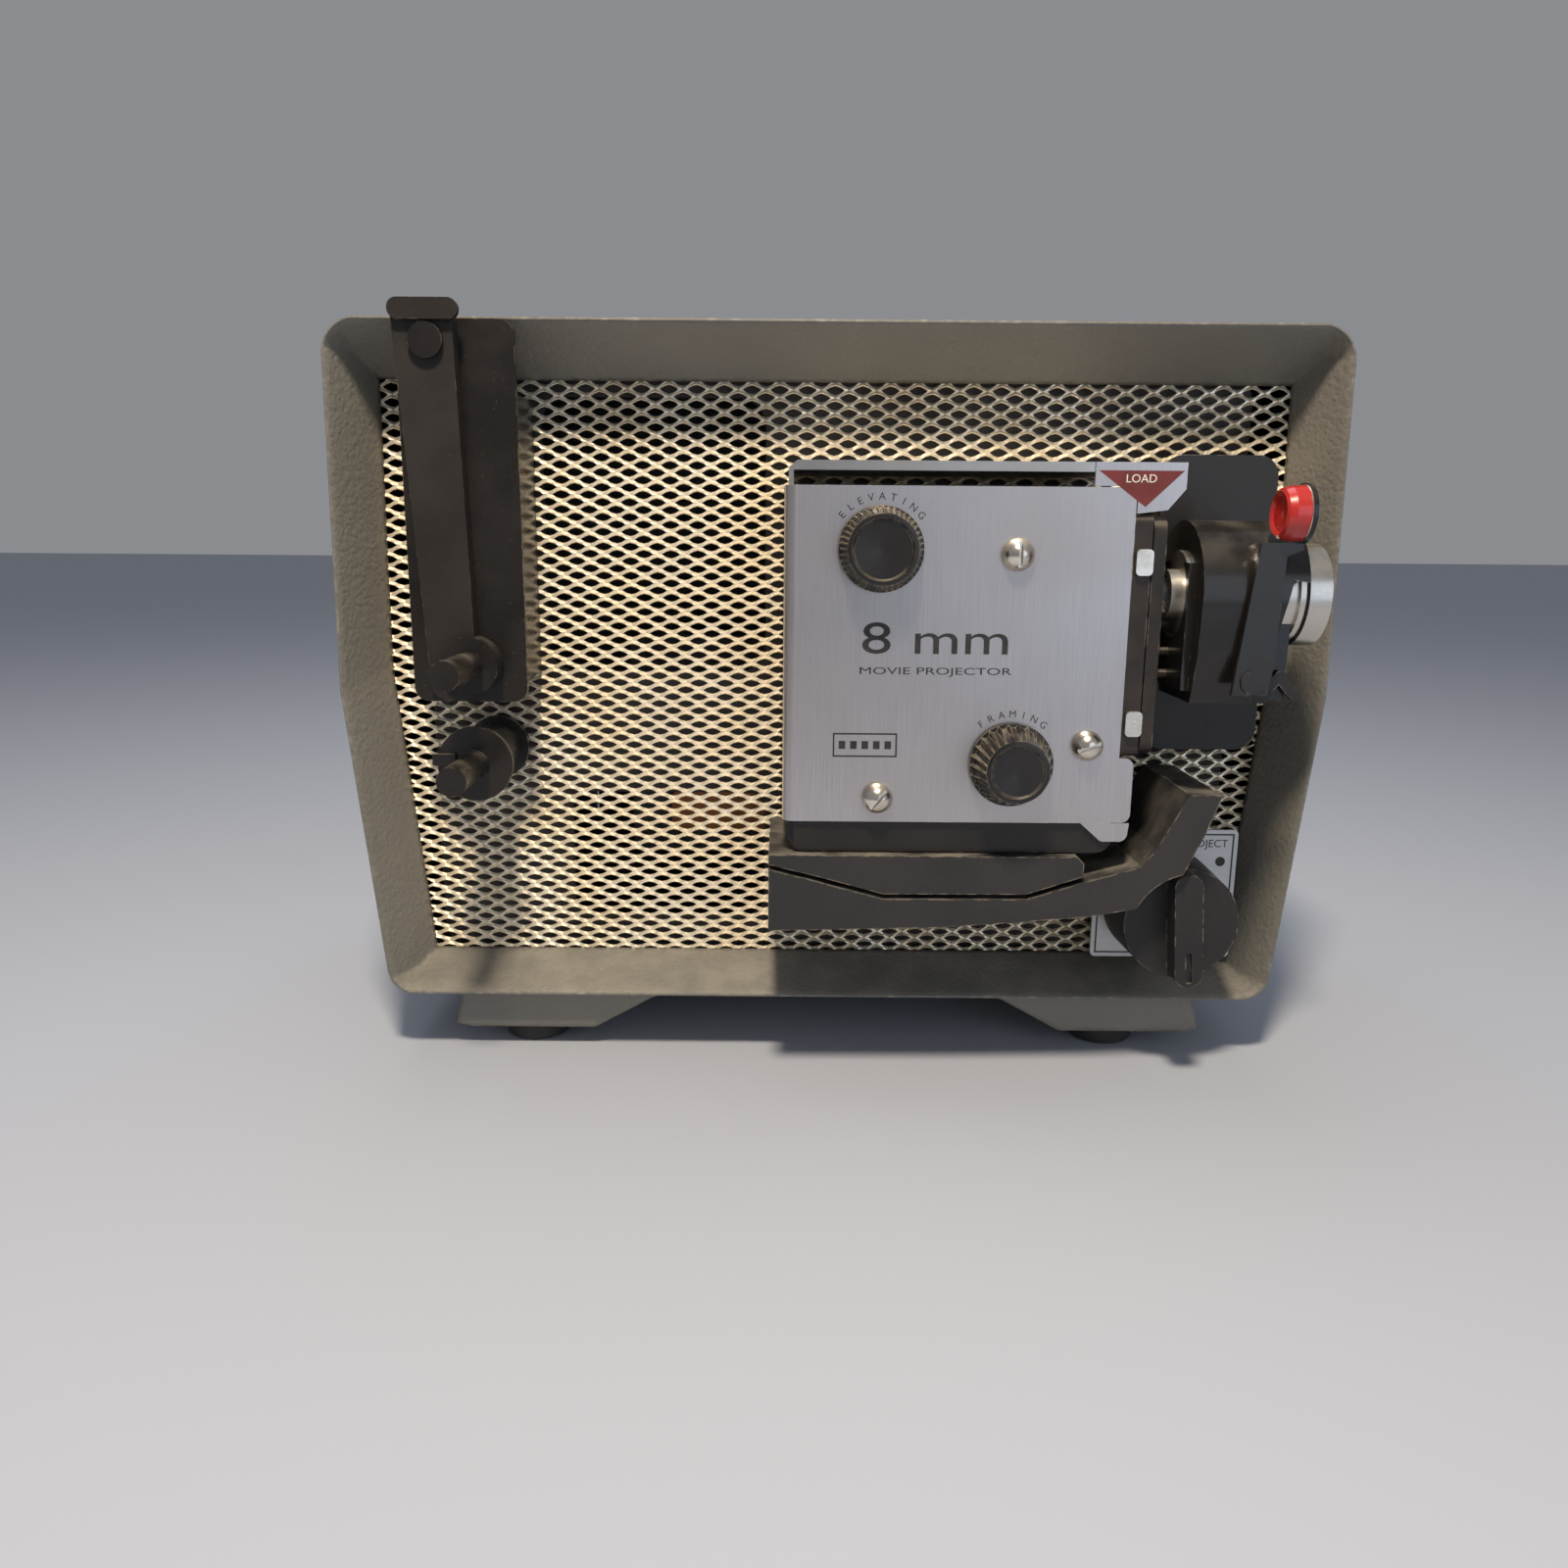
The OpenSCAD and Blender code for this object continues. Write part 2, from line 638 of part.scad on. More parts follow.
// Straps that hold the motor and its bearings
module motor_bracket() {
    color([0.60, 0.60, 0.58]) at_case() for (y = [54, 106]) difference() {
        union() {
            slab(y, y + 2.4) rrect([motor[0] - 28, motor[1] - 8], [motor[0] + 28, motor[1] + 8], 4);
            rod_y(6, y - 2, y + 4, motor);
            if (y < 80) for (p = [[-24, 0], [24, -6]]) rod_y(3, 25.6, 54.1, motor + p);
            for (s = [-1, 1])
                rod_y(2.4, y < 80 ? y + 2.3 : 94, y < 80 ? 70 : y + 0.1, motor + [s * 24, 0]);
        }
        rod_y(2.05, y - 4, y + 6, motor);
    }
}

// Motor spindle with its rotor and drive pulleys
module motor_shaft() {
    color([0.70, 0.70, 0.70]) at_case() {
        rod_y(2, 36, 118, motor);
        rod_y(16.8, 69, 95, motor);
        pulley_y(6.2, 44.6, 50.6, motor, 1.9);
        pulley_y(6.2, 36.5, 42.5, motor, 1.9);
    }
}

// Fan that cools the lamp
module cooling_fan() {
    color([0.70, 0.70, 0.72]) at_case() {
        difference() {
            rod_y(8, 111, 122, motor);
            rod_y(2, 110, 118, motor);
        }
        for (a = [0:60:300]) translate([motor[0], 116.5, motor[1]]) rotate([0, a, 0])
            translate([7, 0, 0]) rotate([32, 0, 0]) translate([0, -0.6, -7]) cube([29, 1.2, 14]);
    }
}

// Belt from the motor to the mechanism
module drive_belt() {
    color([0.07, 0.06, 0.06]) at_case() difference() {
        slab(46.6, 48.6) belt_outline(motor, 6.6, main, 20.4);
        slab(46, 49) belt_outline(motor, 4.9, main, 18.7);
    }
}

// Main shaft of the mechanism with its pulley and claw cam
module main_shaft() {
    color([0.70, 0.70, 0.70]) at_case() {
        rod_y(3, -16, 51, main);
        pulley_y(20, 44.6, 50.6, main, 2.9);
        translate([main[0] + 2, 0, main[1]]) rod_y(7, -14, -10, [0, 0]);
    }
}

// Three-bladed shutter disc
module shutter() {
    color([0.10, 0.10, 0.10]) at_case() slab(6, 7) translate(main) difference() {
        circle(r = 33.5);
        circle(r = 3);
        for (a = [0, 120, 240]) rotate(a + 52) difference() {
            polygon([[0, 0], [60, 0], [60 * cos(50), 60 * sin(50)]]);
            circle(r = 20);
        }
    }
}

// Claw that pulls the film down one frame
module film_claw() {
    color([0.70, 0.70, 0.70]) at_case() {
        difference() {
            slab(-13.6, -10.4) rrect([main[0] - 12, main[1] - 13], [main[0] + 16, main[1] + 13], 3);
            rod_y(11.6, -20, 0, main);
        }
        slab(-13.6, -10.4) translate([main[0] + 15, main[1] - 1.5]) square([14, 5]);
        block([main[0] + 28, axis_y - 2.2, main[1] - 1.5], [main[0] + 30.4, -10.4, main[1] + 3.5]);
        block([main[0] + 30, axis_y - 2.2, main[1] + 1.4], [81.4, axis_y - 1.4, main[1] + 2.4]);
    }
}

// ---------- light path ----------

// Mirror that turns the beam towards the gate
module beam_mirror() {
    color([0.85, 0.87, 0.90]) at_case() {
        block([beam[0] + 2.6, cover_y + 3.4, axis_z - 4], [beam[0] + 5, axis_y - 1.8, axis_z + 4]);
        translate([beam[0] + 1, axis_y + 1, axis_z]) rotate([0, 0, 45])
            translate([-1.2, -5, -6.5]) cube([1.2, 10, 13]);
    }
}

// Ring that holds the condenser
module condenser_mount() {
    color([0.30, 0.30, 0.30]) at_case() difference() {
        rod_y(16, 25.6, 40, beam);
        rod_y(13, 24, 42, beam);
    }
}

// Condenser lens
module condenser_lens() {
    color([0.75, 0.80, 0.85, 0.4]) at_case() translate([beam[0], 27, beam[1]]) rotate([-90, 0, 0])
        rotate_extrude() intersection() {
            translate([0, -12]) circle(r = 22);
            square([12.98, 10]);
        }
}

// Sheet housing round the lamp, open at the top and bottom
module lamp_house() {
    color([0.30, 0.30, 0.31]) at_case() difference() {
        block([41, 53, 66], [79, 99, 166]);
        block([42.2, 54.2, 60], [77.8, 97.8, 170]);
        rod_y(13, 50, 60, beam);
        for (z = [78:12:150]) block([40, 64, z], [80, 88, z + 4]);
    }
    color([0.30, 0.30, 0.31]) at_case() for (x = [44, 76], z = [70, 162]) rod_y(2.5, 25.6, 53.1, [x, z]);
}

// Socket of the lamp
module lamp_socket() {
    color([0.70, 0.62, 0.40]) at_case() {
        difference() {
            rod_z(12, 70, 84, 60, 76);
            rod_z(9.5, 74, 90, 60, 76);
        }
        block([42.2, 72, 70], [49, 80, 73]);
        block([71, 72, 70], [77.8, 80, 73]);
    }
}

// Tubular projection lamp
module lamp_bulb() {
    color([0.90, 0.90, 0.88, 0.4]) at_case() translate([60, 76, 0]) rotate_extrude()
        polygon([[0, 74.1], [9.3, 74.1], [9.3, 88], [13, 92], [13, 144], [9, 150], [0, 152]]);
}

// Curved reflector behind the lamp
module lamp_reflector() {
    color([0.85, 0.86, 0.88]) at_case() translate([60, 76, 110]) intersection() {
        difference() {
            cylinder(r = 17.4, h = 26);
            translate([0, 0, -1]) cylinder(r = 16.2, h = 28);
        }
        translate([-12, 0, -1]) cube([24, 20, 30]);
    }
    color([0.85, 0.86, 0.88]) at_case() block([58, 93, 118], [62, 97.8, 128]);
}

// ---------- controls ----------

// Serrated knob that raises the elevating leg
module elevating_knob() {
    color([0.06, 0.06, 0.06]) at_case() difference() {
        cone_y(9.3, 11.3, cover_y - 9, cover_y - 0.4, elev);
        rod_y(7.6, cover_y - 10, cover_y - 8.3, elev);
        rod_y(2.5, cover_y - 6, cover_y, elev);
        for (i = [0:elevating_serrations - 1]) translate([elev[0], 0, elev[1]])
            rotate([0, i * 360 / elevating_serrations, 0]) translate([11.5, cover_y - 0.2, 0])
                rotate([0, 0, 13]) translate([0, -4.6, 0]) rotate([0, 45, 0])
                    cube([0.8, 12, 0.8], center = true);
    }
}

// Shaft of the elevating knob with its pinion
module elevating_shaft() {
    color([0.70, 0.70, 0.70]) at_case() {
        rod_y(2.5, cover_y - 5.9, 45, elev);
        slab(33, 43) translate(elev) {
            circle(r = 4.7);
            for (i = [0:pinion_teeth - 1]) rotate(i * 360 / pinion_teeth)
                polygon([[4, -0.85], [4.8, -0.8], [6, -0.6], [6.8, -0.25], [6.8, 0.25], [6, 0.6],
                         [4.8, 0.8], [4, 0.85]]);
        }
    }
}

// Rack leg that tilts the machine up
module elevating_leg() {
    color([0.70, 0.70, 0.70]) at_case() {
        difference() {
            block([elev[0] + pinion_r - 0.8, 34, 1], [elev[0] + 12, 42, 174]);
            for (k = [-2:13]) slab(33, 43) translate([elev[0] + pinion_r, elev[1] + k * tooth_pitch])
                polygon([[-1, -1.35], [0, -0.98], [1, -0.62], [1, 0.62], [0, 0.98], [-1, 1.35]]);
            block([elev[0], 33, 0], [elev[0] + 7.2, 43, elev[1] - 2.6 * tooth_pitch]);
        }
        rod_z(7, -7, 1.1, elev[0] + 9, 38);
    }
}

// Guides of the elevating leg
module leg_guide() {
    color([0.55, 0.55, 0.55]) at_case() for (z = [20, 78]) difference() {
        block([elev[0] + 4, 25.6, z], [elev[0] + 15, 45, z + 10]);
        block([elev[0] + 7.15, 33.95, z - 1], [elev[0] + 12.05, 42.05, z + 11]);
    }
}

// Coarse serrated knob that frames the picture
module framing_knob() {
    color([0.06, 0.06, 0.06]) at_case() {
        difference() {
            cone_y(8.2, 11.6, cover_y - 12, cover_y - 0.4, framing);
            rod_y(6.4, cover_y - 13, cover_y - 11.2, framing);
            for (i = [0:framing_serrations - 1]) translate([framing[0], 0, framing[1]])
                rotate([0, i * 360 / framing_serrations, 0]) translate([11.7, cover_y - 0.2, 0])
                    rotate([0, 0, 16]) translate([0, -6, 0]) rotate([0, 45, 0])
                        cube([1.3, 16, 1.3], center = true);
        }
        rod_y(2.5, cover_y - 1, -4, framing);
    }
}

// Rotary switch knob with its bar grip
module control_knob() {
    color([0.10, 0.10, 0.11]) at_case() difference() {
        union() {
            cone_y(16.4, 17.2, -14, 6, control);
            rod_y(9, 6, 12.6, control);
            rod_y(4, 12.6, 36, control);
            slab(-21, -13.5) translate(control) rotate(4) rrect([-4, -16.6], [4, 16.2], 3.4);
        }
        slab(-22, -20.2) translate(control) rotate(4) translate([-0.8, -15.6]) square([1.6, 9]);
    }
}

// Plate with the switch positions
module label_plate() {
    color([0.85, 0.86, 0.86]) at_case() difference() {
        union() {
            slab(14, 15) rrect([82.4, 8.6], [125.6, 49.6], 1.5);
            for (p = [[86, 13], [122, 13], [122, 44]]) rod_y(2.2, 15, 20, p);
        }
        rod_y(4.3, 10, 21, control);
        slab(13, 21) polygon([[60, 33], [70, 33.5], [92.3, 37.6], [98.4, 49.8], [98.8, 50.6],
            [60, 50.6]]);
    }
}

// Body of the rotary switch behind the chassis
module switch_body() {
    color([0.20, 0.12, 0.08]) at_case() difference() {
        block([control[0] - 15, 25.6, control[1] - 12], [control[0] + 15, 44, control[1] + 12]);
        rod_y(4.05, 20, 37, control);
    }
}

// Recessed inlet for the mains cord
module power_inlet() {
    color([0.09, 0.08, 0.08]) at_case() {
        difference() {
            block([-120.6, case_d - 20, 24.4], [-89.4, case_d - 2.4, 45.6]);
            block([-124, case_d - 3.2, 21], [-86, case_d - 2, 49]);
            block([-118.6, case_d - 17, 26.4], [-91.4, case_d, 43.6]);
        }
        for (x = [-110, -100]) rod_y(2, case_d - 18, case_d - 5, [x, 35]);
    }
}

// ---------- nodes ----------

case_shell();
grille_panel();
rear_panel();
rear_panel_screws();
chassis_plate();
base_rails();
rubber_feet();
mechanism_housing();
cover_plate();
cover_screws();
load_tab();
top_film_guide();
film_chute();
upper_film_guide();
guide_ear();
label_plate();
lens_backplate();
aperture_plate();
gate_clips();
lens_holder();
arm_bracket();
takeup_bearing();
beam_mirror();
condenser_mount();
condenser_lens();
lamp_house();
lamp_socket();
lamp_bulb();
lamp_reflector();
motor_stator();
motor_coil();
motor_bracket();
switch_body();
power_inlet();
drive_belt();
takeup_belt();
handle_brackets();
leg_guide();
supply_arm();
supply_spindle();
takeup_spindle();
takeup_pulley();
elevating_knob();
elevating_shaft();
elevating_leg();
framing_knob();
control_knob();
lens_barrel();
lens_glass();
pressure_plate();
gate_lever();
lever_button();
hook_lever();
motor_shaft();
cooling_fan();
main_shaft();
shutter();
film_claw();
carry_handle();
handle_grip();
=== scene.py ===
"""Looks of a portable 8 mm cine projector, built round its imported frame.

Every length is in metres in the frame's own axes: +X is the way the lens points, -Y is the
operating side and +Z is up. Sizes written in millimetres are multiplied by MM.
"""

import logging
import math
from dataclasses import dataclass
from enum import Enum
from typing import ClassVar

import bmesh
import bpy
from mathutils import Matrix, Vector


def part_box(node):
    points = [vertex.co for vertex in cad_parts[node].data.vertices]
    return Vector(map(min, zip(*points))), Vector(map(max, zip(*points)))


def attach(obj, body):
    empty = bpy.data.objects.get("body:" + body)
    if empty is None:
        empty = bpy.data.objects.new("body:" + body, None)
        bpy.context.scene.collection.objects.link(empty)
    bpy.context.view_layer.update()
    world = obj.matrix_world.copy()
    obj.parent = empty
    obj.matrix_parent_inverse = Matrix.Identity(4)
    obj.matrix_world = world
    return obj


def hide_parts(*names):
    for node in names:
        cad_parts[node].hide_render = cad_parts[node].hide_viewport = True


LOG = logging.getLogger("cine_projector")
MM = 0.001
Colour = tuple[float, float, float]
Point = tuple[float, float, float]

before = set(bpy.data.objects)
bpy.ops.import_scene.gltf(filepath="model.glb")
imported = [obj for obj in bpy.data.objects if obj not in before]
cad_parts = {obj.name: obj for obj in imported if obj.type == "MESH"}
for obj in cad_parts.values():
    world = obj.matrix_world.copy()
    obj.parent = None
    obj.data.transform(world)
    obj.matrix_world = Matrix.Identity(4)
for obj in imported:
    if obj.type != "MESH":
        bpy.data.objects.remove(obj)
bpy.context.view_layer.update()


# --------------------------------------------------------------------------------------
# Places taken from the frame
# --------------------------------------------------------------------------------------


def centre_of(node: str) -> Vector:
    """Middle of a node's box at rest."""
    low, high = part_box(node)
    return (low + high) / 2


def front_of(node: str) -> float:
    """The Y of a node's face on the operating side."""
    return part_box(node)[0].y


# --------------------------------------------------------------------------------------
# Mesh helpers
# --------------------------------------------------------------------------------------


def link(obj: bpy.types.Object) -> bpy.types.Object:
    """Puts an object into the scene and returns it."""
    bpy.context.scene.collection.objects.link(obj)
    return obj


def mesh_object(name: str, bm: bmesh.types.BMesh, smooth: bool = False) -> bpy.types.Object:
    """Turns a bmesh into a placed object.

    Args:
        name: Name of the object and its mesh.
        bm: The mesh, already in place. It is freed.
        smooth: Whether faces are shaded smooth, with edges over 35 degrees kept sharp.

    Returns:
        The new object, at the origin, unturned and unscaled.
    """
    bmesh.ops.recalc_face_normals(bm, faces=bm.faces)
    mesh = bpy.data.meshes.new(name)
    bm.to_mesh(mesh)
    bm.free()
    if smooth:
        mesh.shade_smooth()
        mesh.set_sharp_from_angle(angle=math.radians(35))
    return link(bpy.data.objects.new(name, mesh))


def evaluated(obj: bpy.types.Object) -> bpy.types.Mesh:
    """The plain mesh of an object with its modifiers applied."""
    depsgraph = bpy.context.evaluated_depsgraph_get()
    depsgraph.update()
    return bpy.data.meshes.new_from_object(obj.evaluated_get(depsgraph), depsgraph=depsgraph)


class Axis(Enum):
    """Direction of a turned piece's axis."""

    X = "x"
    Y = "y"
    Z = "z"

    def frame(self) -> Matrix:
        """Matrix that turns local +Z to this axis (Y points to the operating side)."""
        if self is Axis.X:
            return Matrix.Rotation(math.radians(90), 4, "Y")
        if self is Axis.Y:
            return Matrix.Rotation(math.radians(90), 4, "X")
        return Matrix.Identity(4)


def lathe(bm: bmesh.types.BMesh, profile: list[tuple[float, float]], at: Vector, axis: Axis,
          steps: int = 64) -> None:
    """Adds a turned solid to a bmesh.

    Args:
        bm: Mesh that receives the solid.
        profile: Closed outline as (radius, height) in metres. A radius of 0 is on the axis.
        at: Foot of the axis.
        axis: Direction of the axis.
        steps: Faces round the axis.
    """
    place = Matrix.Translation(at) @ axis.frame()
    rings = []
    for radius, height in profile:
        if radius <= 1e-9:
            rings.append([bm.verts.new(place @ Vector((0, 0, height)))] * steps)
        else:
            rings.append([
                bm.verts.new(place @ Vector((radius * math.cos(a), radius * math.sin(a), height)))
                for a in (math.tau * i / steps for i in range(steps))
            ])
    for low, high in zip(rings, rings[1:] + rings[:1]):
        for i in range(steps):
            j = (i + 1) % steps
            corners = []
            for v in (low[i], low[j], high[j], high[i]):
                if v not in corners:
                    corners.append(v)
            if len(corners) > 2:
                bm.faces.new(corners)


def prism(bm: bmesh.types.BMesh, outline: list[tuple[float, float]], y_front: float,
          y_back: float) -> None:
    """Adds a straight prism along Y.

    Args:
        bm: Mesh that receives the prism.
        outline: Its outline as (x, z).
        y_front: Y of its front face.
        y_back: Y of its back face.
    """
    front = [bm.verts.new((x, y_front, z)) for x, z in outline]
    back = [bm.verts.new((x, y_back, z)) for x, z in outline]
    bm.faces.new(front)
    bm.faces.new(back)
    for i in range(len(outline)):
        j = (i + 1) % len(outline)
        bm.faces.new((front[i], front[j], back[j], back[i]))


def frame_strip(bm: bmesh.types.BMesh, low: tuple[float, float], high: tuple[float, float],
                width: float, y_front: float, y_back: float) -> None:
    """Adds a flat rectangular border line, in the XZ plane.

    Args:
        bm: Mesh that receives the line.
        low: Lower left outer corner as (x, z).
        high: Upper right outer corner.
        width: Width of the line.
        y_front: Y of its front face.
        y_back: Y of its back face.
    """
    x0, z0 = low
    x1, z1 = high
    for a, b, c, d in ((x0, z0, x1, z0 + width), (x0, z1 - width, x1, z1),
                       (x0, z0 + width, x0 + width, z1 - width),
                       (x1 - width, z0 + width, x1, z1 - width)):
        prism(bm, [(a, b), (c, b), (c, d), (a, d)], y_front, y_back)


# --------------------------------------------------------------------------------------
# Geometry Nodes
# --------------------------------------------------------------------------------------


class NodeGraph:
    """A node tree with named sockets, and short ways to add and link its nodes."""

    def __init__(self, name: str, kind: str, inputs: list[tuple[str, str, object]],
                 outputs: list[tuple[str, str]]) -> None:
        """Starts the tree with its sockets.

        Args:
            name: Name of the tree.
            kind: Type of the tree.
            inputs: (name, socket type, default or None) triples.
            outputs: (name, socket type) pairs.
        """
        self.tree = bpy.data.node_groups.new(name, kind)
        for title, socket_type, default in inputs:
            socket = self.tree.interface.new_socket(title, in_out="INPUT",
                                                    socket_type=socket_type)
            if default is not None:
                socket.default_value = default
        for title, socket_type in outputs:
            self.tree.interface.new_socket(title, in_out="OUTPUT", socket_type=socket_type)
        self.start = self.tree.nodes.new("NodeGroupInput")
        self.end = self.tree.nodes.new("NodeGroupOutput")

    def node(self, kind: str, **settings: object) -> bpy.types.Node:
        """Adds a node.

        Args:
            kind: Type of the node.
            **settings: Properties of the node.

        Returns:
            The new node.
        """
        made = self.tree.nodes.new(kind)
        for key, value in settings.items():
            setattr(made, key, value)
        return made

    def join(self, source: bpy.types.NodeSocket, target: bpy.types.NodeSocket) -> None:
        """Links one socket to another."""
        self.tree.links.new(source, target)

    def feed(self, target: bpy.types.NodeSocket, value: object) -> None:
        """Links a socket to an input, or sets a plain value on it."""
        if isinstance(value, bpy.types.NodeSocket):
            self.join(value, target)
        elif value is not None:
            target.default_value = value

    def value(self, name: str) -> bpy.types.NodeSocket:
        """The tree's input socket of that name."""
        return self.start.outputs[name]

    def math(self, operation: str, a: object, b: object = None, clamp: bool = False
             ) -> bpy.types.NodeSocket:
        """Adds a math node.

        Args:
            operation: What it works out.
            a: First operand, a socket or a number.
            b: Second operand, or None.
            clamp: Whether the result is kept between 0 and 1.

        Returns:
            Its result.
        """
        made = self.node("ShaderNodeMath", operation=operation, use_clamp=clamp)
        for socket, operand in zip(made.inputs, (a, b)):
            self.feed(socket, operand)
        return made.outputs[0]


class ShapeTree(NodeGraph):
    """A Geometry Nodes tree with named inputs, and the way to turn it into a plain mesh."""

    def __init__(self, name: str, inputs: list[tuple[str, str]]) -> None:
        """Starts an empty tree whose last input is the finish."""
        super().__init__(name, "GeometryNodeTree",
                         [(title, kind, None) for title, kind in inputs]
                         + [("Finish", "NodeSocketMaterial", None)],
                         [("Geometry", "NodeSocketGeometry")])

    def finish(self, geometry: bpy.types.NodeSocket) -> None:
        """Ends the tree in Realize Instances and Set Material."""
        real = self.node("GeometryNodeRealizeInstances")
        paint = self.node("GeometryNodeSetMaterial")
        self.join(geometry, real.inputs[0])
        self.join(real.outputs[0], paint.inputs["Geometry"])
        self.join(self.value("Finish"), paint.inputs["Material"])
        self.join(paint.outputs[0], self.end.inputs[0])

    def shape(self, name: str, **inputs: object) -> bpy.types.Object:
        """Evaluates the tree into a plain mesh object.

        Args:
            name: Name of the new object.
            **inputs: Values of the named inputs, with _ for a space.

        Returns:
            The object, with the tree's result as its own mesh and no modifier left.
        """
        holder = link(bpy.data.objects.new(name, bpy.data.meshes.new(name)))
        modifier = holder.modifiers.new("shape", "NODES")
        modifier.node_group = self.tree
        idents = {s.name: s.identifier for s in self.tree.interface.items_tree
                  if s.item_type == "SOCKET" and s.in_out == "INPUT"}
        for key, value in inputs.items():
            modifier[idents[key.replace("_", " ")]] = value
        mesh = evaluated(holder)
        holder.modifiers.clear()
        holder.data = mesh
        mesh.name = name
        return holder


def ridge_ring_tree() -> ShapeTree:
    """Tree that sets copies of one ridge round an axis and adds them to a turned body.

    Returns:
        The finished tree.
    """
    t = ShapeTree("ridge_ring", [("Body", "NodeSocketObject"), ("Ridge", "NodeSocketObject"),
                                 ("Count", "NodeSocketInt"), ("Radius", "NodeSocketFloat"),
                                 ("Centre", "NodeSocketVector"), ("Turn", "NodeSocketVector")])
    ring = t.node("GeometryNodeMeshCircle")
    t.join(t.value("Count"), ring.inputs["Vertices"])
    t.join(t.value("Radius"), ring.inputs["Radius"])
    index = t.node("GeometryNodeInputIndex")
    angle = t.math("DIVIDE", t.math("MULTIPLY", index.outputs[0], math.tau), t.value("Count"))
    spin = t.node("ShaderNodeCombineXYZ")
    t.join(angle, spin.inputs["Z"])
    ridge = t.node("GeometryNodeObjectInfo")
    t.join(t.value("Ridge"), ridge.inputs["Object"])
    copies = t.node("GeometryNodeInstanceOnPoints")
    t.join(ring.outputs["Mesh"], copies.inputs["Points"])
    t.join(ridge.outputs["Geometry"], copies.inputs["Instance"])
    t.join(spin.outputs[0], copies.inputs["Rotation"])
    body = t.node("GeometryNodeObjectInfo")
    t.join(t.value("Body"), body.inputs["Object"])
    both = t.node("GeometryNodeJoinGeometry")
    t.join(copies.outputs[0], both.inputs[0])
    t.join(body.outputs["Geometry"], both.inputs[0])
    place = t.node("GeometryNodeTransform")
    t.join(both.outputs[0], place.inputs["Geometry"])
    t.join(t.value("Centre"), place.inputs["Translation"])
    t.join(t.value("Turn"), place.inputs["Rotation"])
    t.finish(place.outputs[0])
    return t


def cell_field_tree() -> ShapeTree:
    """Tree that lays one cell on two staggered grids wherever a flat area lies behind it.

    Returns:
        The finished tree.
    """
    t = ShapeTree("cell_field", [("Cell", "NodeSocketObject"), ("Area", "NodeSocketObject"),
                                 ("Pitch X", "NodeSocketFloat"), ("Pitch Z", "NodeSocketFloat"),
                                 ("Columns", "NodeSocketInt"), ("Rows", "NodeSocketInt"),
                                 ("Centre", "NodeSocketVector"), ("Weld", "NodeSocketFloat")])
    half_x = t.math("MULTIPLY", t.value("Pitch X"), 0.5)
    half_z = t.math("MULTIPLY", t.value("Pitch Z"), 0.5)
    both = t.node("GeometryNodeJoinGeometry")
    for shifted in (False, True):
        grid = t.node("GeometryNodeMeshGrid")
        t.join(t.math("MULTIPLY", t.value("Pitch X"), t.math("SUBTRACT", t.value("Columns"), 1)),
               grid.inputs["Size X"])
        t.join(t.math("MULTIPLY", t.value("Pitch Z"), t.math("SUBTRACT", t.value("Rows"), 1)),
               grid.inputs["Size Y"])
        t.join(t.value("Columns"), grid.inputs["Vertices X"])
        t.join(t.value("Rows"), grid.inputs["Vertices Y"])
        move = t.node("GeometryNodeTransform")
        t.join(grid.outputs["Mesh"], move.inputs["Geometry"])
        if shifted:
            step = t.node("ShaderNodeCombineXYZ")
            t.join(half_x, step.inputs["X"])
            t.join(half_z, step.inputs["Y"])
            t.join(step.outputs[0], move.inputs["Translation"])
        t.join(move.outputs[0], both.inputs[0])
    stand = t.node("GeometryNodeTransform")
    stand.inputs["Rotation"].default_value = (math.radians(90), 0, 0)
    t.join(both.outputs[0], stand.inputs["Geometry"])
    t.join(t.value("Centre"), stand.inputs["Translation"])
    points = t.node("GeometryNodeMeshToPoints")
    t.join(stand.outputs[0], points.inputs["Mesh"])
    area = t.node("GeometryNodeObjectInfo")
    t.join(t.value("Area"), area.inputs["Object"])
    cast = t.node("GeometryNodeRaycast")
    t.join(area.outputs["Geometry"], cast.inputs["Target Geometry"])
    cast.inputs["Ray Direction"].default_value = (0, 1, 0)
    cast.inputs["Ray Length"].default_value = 1.0
    missed = t.node("FunctionNodeBooleanMath", operation="NOT")
    t.join(cast.outputs["Is Hit"], missed.inputs[0])
    keep = t.node("GeometryNodeDeleteGeometry", domain="POINT")
    t.join(points.outputs[0], keep.inputs["Geometry"])
    t.join(missed.outputs[0], keep.inputs["Selection"])
    cell = t.node("GeometryNodeObjectInfo")
    t.join(t.value("Cell"), cell.inputs["Object"])
    copies = t.node("GeometryNodeInstanceOnPoints")
    t.join(keep.outputs[0], copies.inputs["Points"])
    t.join(cell.outputs["Geometry"], copies.inputs["Instance"])
    real = t.node("GeometryNodeRealizeInstances")
    t.join(copies.outputs[0], real.inputs[0])
    weld = t.node("GeometryNodeMergeByDistance")
    t.join(real.outputs[0], weld.inputs["Geometry"])
    t.join(t.value("Weld"), weld.inputs["Distance"])
    t.finish(weld.outputs[0])
    return t


